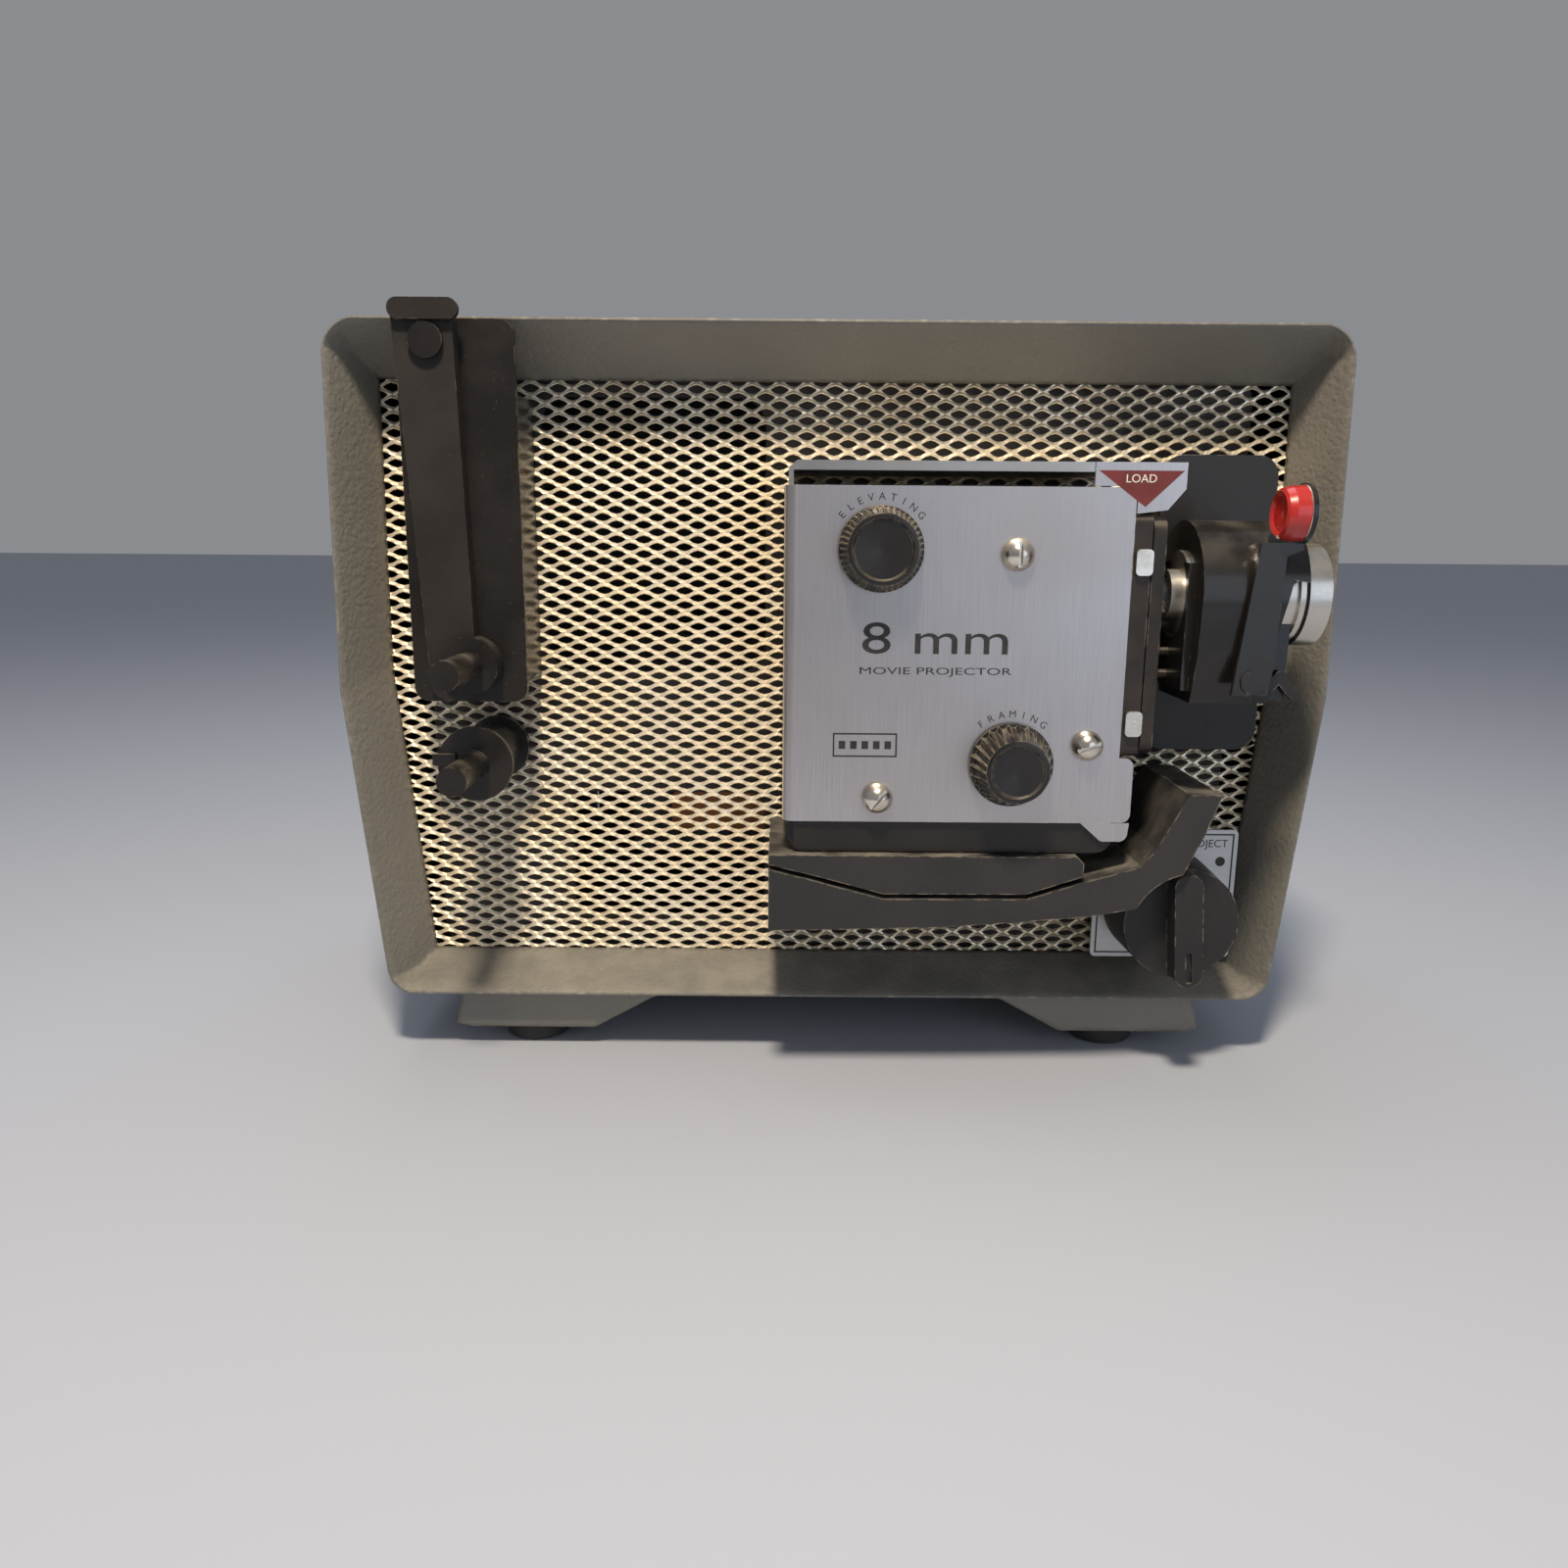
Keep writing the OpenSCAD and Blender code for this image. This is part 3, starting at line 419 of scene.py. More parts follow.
def line_tree() -> ShapeTree:
    """Tree that repeats one shape on a grid of columns and rows in the XZ plane.

    Returns:
        The finished tree.
    """
    t = ShapeTree("repeat_grid", [("Shape", "NodeSocketObject"), ("Columns", "NodeSocketInt"),
                                  ("Rows", "NodeSocketInt"), ("Width", "NodeSocketFloat"),
                                  ("Height", "NodeSocketFloat"), ("Centre", "NodeSocketVector")])
    grid = t.node("GeometryNodeMeshGrid")
    t.join(t.value("Width"), grid.inputs["Size X"])
    t.join(t.value("Height"), grid.inputs["Size Y"])
    t.join(t.value("Columns"), grid.inputs["Vertices X"])
    t.join(t.value("Rows"), grid.inputs["Vertices Y"])
    stand = t.node("GeometryNodeTransform")
    stand.inputs["Rotation"].default_value = (math.radians(90), 0, 0)
    t.join(grid.outputs["Mesh"], stand.inputs["Geometry"])
    t.join(t.value("Centre"), stand.inputs["Translation"])
    shape = t.node("GeometryNodeObjectInfo")
    t.join(t.value("Shape"), shape.inputs["Object"])
    copies = t.node("GeometryNodeInstanceOnPoints")
    t.join(stand.outputs[0], copies.inputs["Points"])
    t.join(shape.outputs["Geometry"], copies.inputs["Instance"])
    t.finish(copies.outputs[0])
    return t


# --------------------------------------------------------------------------------------
# Shader groups
# --------------------------------------------------------------------------------------


class EffectGroup(NodeGraph):
    """A shader node group, built once and placed in materials with their own values."""

    def __init__(self, name: str, inputs: list[tuple[str, str, object]],
                 outputs: list[tuple[str, str]]) -> None:
        """Starts the group, whose first input is the place on the surface."""
        super().__init__(name, "ShaderNodeTree",
                         [("Vector", "NodeSocketVector", None)] + inputs, outputs)

    def noise(self, vector: bpy.types.NodeSocket, scale: object, detail: float = 3.0
              ) -> bpy.types.NodeSocket:
        """Adds a noise texture.

        Args:
            vector: Where it is read.
            scale: Its scale, a socket or a number.
            detail: Its detail.

        Returns:
            Its value.
        """
        made = self.node("ShaderNodeTexNoise")
        for name, value in (("Detail", detail), ("Vector", vector), ("Scale", scale)):
            self.feed(made.inputs[name], value)
        return made.outputs[0]

    def ramp(self, value: bpy.types.NodeSocket, low: object, high: object
             ) -> bpy.types.NodeSocket:
        """Adds a smooth step.

        Args:
            value: The value that is stepped.
            low: Where the step starts, a socket or a number.
            high: Where it ends.

        Returns:
            A value between 0 and 1.
        """
        made = self.node("ShaderNodeMapRange", interpolation_type="SMOOTHSTEP")
        for name, edge in (("Value", value), ("From Min", low), ("From Max", high)):
            self.feed(made.inputs[name], edge)
        return made.outputs["Result"]


def wear_group() -> EffectGroup:
    """Mask of the worn edges: bare along sharp edges, broken up by noise.

    Returns:
        The finished group.
    """
    g = EffectGroup("edge_wear", [("Width", "NodeSocketFloat", 0.0006),
                                  ("Amount", "NodeSocketFloat", 0.5),
                                  ("Scale", "NodeSocketFloat", 300.0)],
                    [("Mask", "NodeSocketFloat")])
    bevel = g.node("ShaderNodeBevel", samples=4)
    g.join(g.value("Width"), bevel.inputs["Radius"])
    flat = g.node("ShaderNodeNewGeometry")
    dot = g.node("ShaderNodeVectorMath", operation="DOT_PRODUCT")
    g.join(bevel.outputs[0], dot.inputs[0])
    g.join(flat.outputs["Normal"], dot.inputs[1])
    edge = g.ramp(g.math("SUBTRACT", 1.0, dot.outputs["Value"]), 0.01, 0.14)
    speckle = g.noise(g.value("Vector"), g.value("Scale"), 4.0)
    limit = g.math("SUBTRACT", 0.85, g.math("MULTIPLY", g.value("Amount"), 0.6))
    broken = g.ramp(speckle, g.math("SUBTRACT", limit, 0.12), g.math("ADD", limit, 0.05))
    g.join(g.math("MULTIPLY", edge, broken, clamp=True), g.end.inputs["Mask"])
    return g


def dust_group() -> EffectGroup:
    """Mask of settled dust: more on faces that look up, with fine specks everywhere.

    Returns:
        The finished group.
    """
    g = EffectGroup("dust", [("Amount", "NodeSocketFloat", 0.3)],
                    [("Mask", "NodeSocketFloat")])
    flat = g.node("ShaderNodeNewGeometry")
    split = g.node("ShaderNodeSeparateXYZ")
    g.join(flat.outputs["Normal"], split.inputs[0])
    up = g.ramp(split.outputs["Z"], 0.15, 1.0)
    film = g.ramp(g.noise(g.value("Vector"), 90.0, 5.0), 0.35, 0.7)
    specks = g.ramp(g.noise(g.value("Vector"), 1500.0, 2.0), 0.70, 0.78)
    layer = g.math("MULTIPLY", g.math("MULTIPLY", up, film), 0.9)
    both = g.math("MAXIMUM", layer, g.math("MULTIPLY", specks, 0.55))
    g.join(g.math("MULTIPLY", both, g.value("Amount"), clamp=True), g.end.inputs["Mask"])
    return g


def tone_group() -> EffectGroup:
    """Slow colour variation between two tones, and a value that follows it.

    Returns:
        The finished group.
    """
    g = EffectGroup("tone", [("First", "NodeSocketColor", (0.5, 0.5, 0.5, 1)),
                             ("Second", "NodeSocketColor", (0.4, 0.4, 0.4, 1)),
                             ("Scale", "NodeSocketFloat", 40.0)],
                    [("Color", "NodeSocketColor"), ("Value", "NodeSocketFloat")])
    value = g.ramp(g.noise(g.value("Vector"), g.value("Scale"), 6.0), 0.3, 0.7)
    mix = g.node("ShaderNodeMix", data_type="RGBA")
    g.join(value, mix.inputs[0])
    g.join(g.value("First"), mix.inputs[6])
    g.join(g.value("Second"), mix.inputs[7])
    g.join(mix.outputs[2], g.end.inputs["Color"])
    g.join(value, g.end.inputs["Value"])
    return g


def brushed_group() -> EffectGroup:
    """Fine parallel streaks left by brushing, as a height and a tone.

    Returns:
        The finished group.
    """
    g = EffectGroup("brushed", [("Stretch", "NodeSocketVector", (1.0, 1.0, 1.0))],
                    [("Height", "NodeSocketFloat"), ("Tone", "NodeSocketFloat")])
    scaled = g.node("ShaderNodeVectorMath", operation="MULTIPLY")
    g.join(g.value("Vector"), scaled.inputs[0])
    g.join(g.value("Stretch"), scaled.inputs[1])
    fine = g.noise(scaled.outputs[0], 1.0, 3.0)
    g.join(fine, g.end.inputs["Height"])
    g.join(g.ramp(fine, 0.3, 0.7), g.end.inputs["Tone"])
    return g


def texture_group() -> EffectGroup:
    """Fine splatter texture of stove enamel or cast metal, as a height.

    Returns:
        The finished group.
    """
    g = EffectGroup("splatter", [("Scale", "NodeSocketFloat", 1400.0)],
                    [("Height", "NodeSocketFloat")])
    broad = g.noise(g.value("Vector"), g.value("Scale"), 2.0)
    drops = g.node("ShaderNodeTexVoronoi")
    g.join(g.value("Vector"), drops.inputs["Vector"])
    g.join(g.math("MULTIPLY", g.value("Scale"), 0.6), drops.inputs["Scale"])
    bead = g.math("SUBTRACT", 1.0, g.math("MULTIPLY", drops.outputs["Distance"], 1.2))
    total = g.math("ADD", g.math("MULTIPLY", broad, 0.6), g.math("MULTIPLY", bead, 0.4))
    g.join(total, g.end.inputs["Height"])
    return g


def inside_group() -> EffectGroup:
    """Mask of a hollow body's inner walls behind a plane, for soot and painted shade: faces there
    that look at its middle.

    Returns:
        The finished group.
    """
    g = EffectGroup("inner_walls", [("Middle", "NodeSocketVector", (0.0, 0.0, 0.0)),
                                    ("Plane", "NodeSocketFloat", 0.0)],
                    [("Mask", "NodeSocketFloat")])
    away = g.node("ShaderNodeVectorMath", operation="SUBTRACT")
    g.join(g.value("Vector"), away.inputs[0])
    g.join(g.value("Middle"), away.inputs[1])
    flat = g.node("ShaderNodeNewGeometry")
    dot = g.node("ShaderNodeVectorMath", operation="DOT_PRODUCT")
    g.join(away.outputs[0], dot.inputs[0])
    g.join(flat.outputs["Normal"], dot.inputs[1])
    split = g.node("ShaderNodeSeparateXYZ")
    g.join(g.value("Vector"), split.inputs[0])
    facing = g.math("LESS_THAN", dot.outputs["Value"], 0.0)
    behind = g.math("GREATER_THAN", split.outputs["Y"], g.value("Plane"))
    g.join(g.math("MULTIPLY", facing, behind), g.end.inputs["Mask"])
    return g


class Effects:
    """The shader groups that the finishes share, built once."""

    def __init__(self) -> None:
        """Builds every group."""
        self.wear = wear_group()
        self.dust = dust_group()
        self.tone = tone_group()
        self.brushed = brushed_group()
        self.texture = texture_group()
        self.inside = inside_group()


class Brushing(Enum):
    """Direction of the brushing on a metal surface."""

    NONE = (0.0, 0.0, 0.0)
    ALONG_X = (60.0, 6000.0, 6000.0)
    ALONG_Y = (6000.0, 60.0, 6000.0)
    ALONG_Z = (6000.0, 6000.0, 60.0)


@dataclass(frozen=True)
class Finish:
    """One surface finish: colours, gloss, texture, wear, dust, and soot with painted shade on
    inner walls.
    """

    name: str
    first: Colour
    second: Colour
    metallic: float = 0.0
    roughness: float = 0.5
    rough_spread: float = 0.12
    tone_scale: float = 40.0
    coat: float = 0.0
    texture_scale: float = 1400.0
    texture_depth: float = 0.0
    brushing: Brushing = Brushing.NONE
    brush_depth: float = 0.0
    wear: float = 0.0
    wear_width: float = 0.0006
    bare: Colour = (0.55, 0.50, 0.42)
    bare_metallic: float = 1.0
    dust: float = 0.25
    dust_colour: Colour = (0.42, 0.38, 0.31)
    clear: bool = False
    anisotropic: float = 0.0
    # Whether inner walls are darkened by soot and painted shade.
    soot_and_shade_inside: bool = False
    soften: float = 0.0
    sheen: float = 0.5
    brush_shade: ClassVar[float] = 0.82
    worn_roughness: ClassVar[float] = 0.36
    dust_roughness: ClassVar[float] = 0.9
    coat_roughness: ClassVar[float] = 0.08
    glass_ior: ClassVar[float] = 1.5
    # Colour of the case's inner walls behind the grille: partly soot, partly painted shade.
    soot_and_shade_colour: ClassVar[Colour] = (0.022, 0.019, 0.016)

    def build(self, effects: Effects) -> bpy.types.Material:
        """Makes the material.

        Args:
            effects: The shared shader groups.

        Returns:
            The node material of this finish.
        """
        material = bpy.data.materials.new(self.name)
        material.use_nodes = True
        nodes, links = material.node_tree.nodes, material.node_tree.links
        shader = nodes["Principled BSDF"]
        where = nodes.new("ShaderNodeTexCoord").outputs["Object"]

        def place(effect: EffectGroup, **values: object) -> bpy.types.Node:
            """Places a shared group.

            Args:
                effect: The group.
                **values: Its own values.

            Returns:
                The group's node.
            """
            made = nodes.new("ShaderNodeGroup")
            made.node_tree = effect.tree
            links.new(where, made.inputs["Vector"])
            for key, value in values.items():
                made.inputs[key].default_value = value
            return made

        def blend(kind: str, factor: bpy.types.NodeSocket, a: object, b: object
                  ) -> bpy.types.NodeSocket:
            """Mixes two colours or two numbers by a mask.

            Args:
                kind: Data type of the mix.
                factor: The mask.
                a: Colour or number where the mask is 0.
                b: Colour or number where it is 1.

            Returns:
                The mixed value.
            """
            made = nodes.new("ShaderNodeMix")
            made.data_type = kind
            slots = (6, 7, 2) if kind == "RGBA" else (2, 3, 0)
            links.new(factor, made.inputs[0])
            for slot, value in zip(slots[:2], (a, b)):
                if isinstance(value, bpy.types.NodeSocket):
                    links.new(value, made.inputs[slot])
                else:
                    made.inputs[slot].default_value = (*value, 1) if kind == "RGBA" else value
            return made.outputs[slots[2]]

        tone = place(effects.tone, First=(*self.first, 1), Second=(*self.second, 1),
                     Scale=self.tone_scale)
        colour = tone.outputs["Color"]
        rough = blend("FLOAT", tone.outputs["Value"], self.roughness - self.rough_spread / 2,
                      self.roughness + self.rough_spread / 2)
        height, depth = None, 0.0
        if self.brushing is not Brushing.NONE:
            streaks = place(effects.brushed, Stretch=self.brushing.value)
            darker = tuple(c * self.brush_shade for c in self.first)
            colour = blend("RGBA", streaks.outputs["Tone"], darker, colour)
            height, depth = streaks.outputs["Height"], self.brush_depth
        elif self.texture_depth > 0:
            grain = place(effects.texture, Scale=self.texture_scale)
            height, depth = grain.outputs["Height"], self.texture_depth
        metal: object = self.metallic
        if self.wear > 0:
            worn = place(effects.wear, Width=self.wear_width, Amount=self.wear).outputs["Mask"]
            colour = blend("RGBA", worn, colour, self.bare)
            rough = blend("FLOAT", worn, rough, self.worn_roughness)
            metal = blend("FLOAT", worn, self.metallic, self.bare_metallic)
        if self.dust > 0 and not self.clear:
            dusty = place(effects.dust, Amount=self.dust).outputs["Mask"]
            colour = blend("RGBA", dusty, colour, self.dust_colour)
            rough = blend("FLOAT", dusty, rough, self.dust_roughness)
            metal = blend("FLOAT", dusty, metal, 0.0)
        # Inner walls of the case are darkened: partly soot, partly painted shade of the enclosed
        # inside.
        if self.soot_and_shade_inside:
            low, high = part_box("case_shell")
            inner = place(effects.inside, Middle=(low + high) / 2,
                          Plane=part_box("grille_panel")[0].y).outputs["Mask"]
            colour = blend("RGBA", inner, colour, self.soot_and_shade_colour)
        if self.clear:
            shader.inputs["Base Color"].default_value = (*self.first, 1)
            shader.inputs["Transmission Weight"].default_value = 1.0
            shader.inputs["Metallic"].default_value = 0.0
            shader.inputs["IOR"].default_value = self.glass_ior
        else:
            links.new(colour, shader.inputs["Base Color"])
            if isinstance(metal, bpy.types.NodeSocket):
                links.new(metal, shader.inputs["Metallic"])
            else:
                shader.inputs["Metallic"].default_value = metal
        links.new(rough, shader.inputs["Roughness"])
        shader.inputs["Specular IOR Level"].default_value = self.sheen
        shader.inputs["Coat Weight"].default_value = self.coat
        shader.inputs["Coat Roughness"].default_value = self.coat_roughness
        shader.inputs["Anisotropic"].default_value = self.anisotropic
        if height is not None and depth > 0:
            bump = nodes.new("ShaderNodeBump")
            bump.inputs["Strength"].default_value = 1.0
            bump.inputs["Distance"].default_value = depth
            links.new(height, bump.inputs["Height"])
            links.new(bump.outputs[0], shader.inputs["Normal"])
            if self.soften > 0:
                rounded = nodes.new("ShaderNodeBevel")
                rounded.samples = 6
                rounded.inputs["Radius"].default_value = self.soften
                links.new(rounded.outputs[0], bump.inputs["Normal"])
        return material


class Finishes:
    """Every finish on the machine, and the painter that puts them on."""

    TABLE = (
        Finish("case_enamel", (0.215, 0.204, 0.175), (0.180, 0.170, 0.148), roughness=0.46,
               tone_scale=18, texture_scale=900, texture_depth=0.00034, wear=0.35,
               wear_width=0.0007, bare=(0.45, 0.42, 0.36), bare_metallic=0.2, dust=0.3,
               soot_and_shade_inside=True, soften=0.0025),
        Finish("mesh_metal", (0.92, 0.84, 0.68), (0.80, 0.69, 0.50), metallic=0.65,
               roughness=0.40, tone_scale=60, texture_scale=3000, texture_depth=0.00004,
               dust=0.3, dust_colour=(0.55, 0.43, 0.27)),
        Finish("inner_steel", (0.09, 0.082, 0.075), (0.06, 0.054, 0.05), metallic=0.7,
               roughness=0.55, brushing=Brushing.ALONG_X, brush_depth=0.00002, dust=0.5),
        Finish("foot_rubber", (0.022, 0.022, 0.023), (0.035, 0.034, 0.033), roughness=0.75,
               texture_scale=2400, texture_depth=0.00008, dust=0.4),
        Finish("black_enamel", (0.012, 0.010, 0.009), (0.018, 0.015, 0.013), roughness=0.30,
               coat=0.12, sheen=0.32, tone_scale=70, texture_scale=900, texture_depth=0.00002,
               wear=0.35, wear_width=0.0004, bare=(0.42, 0.34, 0.24), dust=0.3),
        Finish("arm_enamel", (0.020, 0.017, 0.015), (0.027, 0.023, 0.020), roughness=0.5,
               sheen=0.3, tone_scale=60, texture_scale=2000, texture_depth=0.00003,
               wear=0.3, wear_width=0.0004, bare=(0.36, 0.29, 0.21), dust=0.3),
        Finish("holder_enamel", (0.009, 0.008, 0.007), (0.013, 0.011, 0.010), roughness=0.20,
               coat=0.2, sheen=0.4, tone_scale=50, texture_scale=700, texture_depth=0.00002,
               wear=0.3, wear_width=0.0004, bare=(0.30, 0.23, 0.15), dust=0.15),
        Finish("track_dark", (0.030, 0.025, 0.021), (0.050, 0.041, 0.034), metallic=0.6,
               roughness=0.42, tone_scale=120, texture_scale=2400, texture_depth=0.00002,
               wear=0.4, wear_width=0.0004, bare=(0.45, 0.38, 0.30), dust=0.3),
        Finish("brushed_plate", (0.56, 0.535, 0.54), (0.49, 0.455, 0.43), metallic=0.92,
               roughness=0.36, brushing=Brushing.ALONG_Z, brush_depth=0.000012,
               tone_scale=14, wear=0.3, wear_width=0.0004, bare=(0.85, 0.82, 0.78),
               dust=0.22, anisotropic=0.35),
        Finish("nickel", (0.78, 0.73, 0.64), (0.62, 0.56, 0.48), metallic=1.0, roughness=0.22,
               tone_scale=240, texture_scale=2600, texture_depth=0.00002, dust=0.3),
        Finish("cast_charcoal", (0.026, 0.025, 0.026), (0.034, 0.032, 0.032), roughness=0.6,
               sheen=0.35, texture_scale=2200, texture_depth=0.00006, wear=0.5,
               wear_width=0.0006, bare=(0.50, 0.40, 0.28), dust=0.45),
        Finish("label_white", (0.70, 0.72, 0.74), (0.60, 0.62, 0.63), metallic=0.25,
               roughness=0.32, brushing=Brushing.ALONG_X, brush_depth=0.000008, dust=0.25),
        Finish("turned_steel", (0.55, 0.53, 0.50), (0.42, 0.40, 0.37), metallic=1.0,
               roughness=0.32, brushing=Brushing.ALONG_X, brush_depth=0.000012, dust=0.3),
        Finish("clear_glass", (0.92, 0.95, 0.97), (0.92, 0.95, 0.97), roughness=0.06,
               rough_spread=0.02, clear=True),
        Finish("silvered", (0.86, 0.87, 0.88), (0.80, 0.80, 0.80), metallic=1.0,
               roughness=0.07, rough_spread=0.03, dust=0.15),
        Finish("brass_socket", (0.52, 0.38, 0.16), (0.40, 0.28, 0.12), metallic=1.0,
               roughness=0.4, tone_scale=120, dust=0.35),
        Finish("copper_winding", (0.48, 0.20, 0.08), (0.36, 0.14, 0.05), metallic=0.7,
               roughness=0.42, brushing=Brushing.ALONG_X, brush_depth=0.0001, dust=0.3),
        Finish("core_iron", (0.13, 0.13, 0.14), (0.09, 0.085, 0.08), metallic=0.8,
               roughness=0.6, brushing=Brushing.ALONG_X, brush_depth=0.00008, dust=0.4),
        Finish("knob_black", (0.010, 0.009, 0.009), (0.016, 0.014, 0.013), roughness=0.32,
               sheen=0.4, coat=0.1, texture_scale=1800, texture_depth=0.00001, wear=0.6,
               wear_width=0.00022, bare=(0.50, 0.41, 0.28), bare_metallic=0.3, dust=0.3),
        Finish("matte_black", (0.018, 0.017, 0.017), (0.026, 0.024, 0.024), roughness=0.55,
               sheen=0.35,
               texture_scale=1700, texture_depth=0.00006, wear=0.45, wear_width=0.0006,
               bare=(0.26, 0.24, 0.22), bare_metallic=0.0, dust=0.3),
        Finish("red_plastic", (0.46, 0.020, 0.014), (0.38, 0.015, 0.011), roughness=0.26,
               coat=0.5, tone_scale=160, texture_scale=1500, texture_depth=0.00001, dust=0.15),
        Finish("brown_moulding", (0.060, 0.030, 0.016), (0.045, 0.022, 0.012), roughness=0.5,
               texture_scale=1500, texture_depth=0.00004, dust=0.35),
        Finish("satin_lens_metal", (0.66, 0.63, 0.58), (0.56, 0.53, 0.48), metallic=1.0,
               roughness=0.30, brushing=Brushing.ALONG_Y, brush_depth=0.000008, wear=0.3,
               wear_width=0.0004, bare=(0.85, 0.82, 0.76), dust=0.2),
        Finish("printed_black", (0.014, 0.012, 0.012), (0.030, 0.027, 0.025), roughness=0.5,
               tone_scale=500, dust=0.25),
        Finish("printed_red", (0.155, 0.020, 0.016), (0.12, 0.016, 0.013), roughness=0.42,
               tone_scale=200, dust=0.2),
        Finish("printed_white", (0.78, 0.74, 0.68), (0.66, 0.62, 0.55), roughness=0.5,
               tone_scale=400, dust=0.2),
    )

    def __init__(self) -> None:
        """Builds the shared groups and every material."""
        effects = Effects()
        self.made = {f.name: f.build(effects) for f in self.TABLE}

    def __getitem__(self, name: str) -> bpy.types.Material:
        """The material of that finish."""
        return self.made[name]

    def on_node(self, node: str, name: str) -> None:
        """Gives one node of the frame a finish."""
        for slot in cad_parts[node].material_slots:
            slot.link = "OBJECT"
            slot.material = self.made[name]

    def on_piece(self, piece: bpy.types.Object, name: str) -> None:
        """Gives a new piece one finish all over."""
        piece.data.materials.clear()
        piece.data.materials.append(self.made[name])


def settle(piece: bpy.types.Object, body: str, slot: str, *replaced: str) -> None:
    """Hands a finished piece over to the frame.

    Args:
        piece: The piece, in place.
        body: The body that carries it.
        slot: Not used.
        *replaced: Nodes that it stands for.
    """
    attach(piece, body)
    if replaced:
        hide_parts(*replaced)
    LOG.info("%s rides on %s", piece.name, body)


def drop(*helpers: bpy.types.Object) -> None:
    """Removes helper objects that only served a tree."""
    for helper in helpers:
        bpy.data.objects.remove(helper)


# --------------------------------------------------------------------------------------
# Lettering
# --------------------------------------------------------------------------------------


@dataclass
class Lettering:
    """Plain printed letters on a flat face that looks to the operating side."""

    finishes: Finishes
    thickness: float = 0.06 * MM

    def glyphs(self, text: str, size: float) -> bpy.types.Mesh:
        """Makes flat letters in the local XY plane.

        Args:
            text: The letters.
            size: Letter size.

        Returns:
            Their mesh, centred on X with its foot at Y = 0.
        """
        curve = bpy.data.curves.new("letters", "FONT")
        curve.body = text
        curve.size = size
        curve.align_x = "CENTER"
        curve.extrude = self.thickness / 2
        curve.resolution_u = 4
        holder = link(bpy.data.objects.new("letters", curve))
        mesh = evaluated(holder)
        drop(holder)
        return mesh

    def piece(self, name: str, parts: list[tuple[str, float, Matrix]], finish: str
              ) -> bpy.types.Object:
        """Joins placed texts into one piece.

        Args:
            name: Name of the piece.
            parts: (text, letter size, placing matrix) triples.
            finish: Finish of the letters.

        Returns:
            The piece, at the origin.
        """
        bm = bmesh.new()
        for text, size, place in parts:
            mesh = self.glyphs(text, size)
            mesh.transform(place)
            bm.from_mesh(mesh)
            bpy.data.meshes.remove(mesh)
        bmesh.ops.remove_doubles(bm, verts=bm.verts, dist=1e-7)
        done = mesh_object(name, bm)
        self.finishes.on_piece(done, finish)
        return done

    def face(self, x: float, y: float, z: float, turn: float = 0.0, widen: float = 1.0
             ) -> Matrix:
        """Matrix that stands letters up on a face at y, their foot at (x, z)."""
        return (Matrix.Translation((x, y, z)) @ Matrix.Rotation(math.radians(90), 4, "X")
                @ Matrix.Rotation(turn, 4, "Z") @ Matrix.Diagonal((widen, 1, 1, 1)))

    def arc(self, word: str, centre: Vector, y: float, radius: float, spread: float,
            size: float) -> list[tuple[str, float, Matrix]]:
        """Places a word's letters on an arc above a knob.

        Args:
            word: The letters.
            centre: Axis of the knob.
            y: Plane of the letters.
            radius: Radius of the letters' feet.
            spread: Half of the arc's angle, in degrees.
            size: Letter size.

        Returns:
            One placed part for each letter.
        """
        parts = []
        for i, letter in enumerate(word):
            turn = math.radians(spread - 2 * spread * i / (len(word) - 1))
            x = centre.x - radius * math.sin(turn)
            z = centre.z + radius * math.cos(turn)
            parts.append((letter, size, self.face(x, y, z, turn)))
        return parts


# --------------------------------------------------------------------------------------
# Sub-assemblies
# --------------------------------------------------------------------------------------


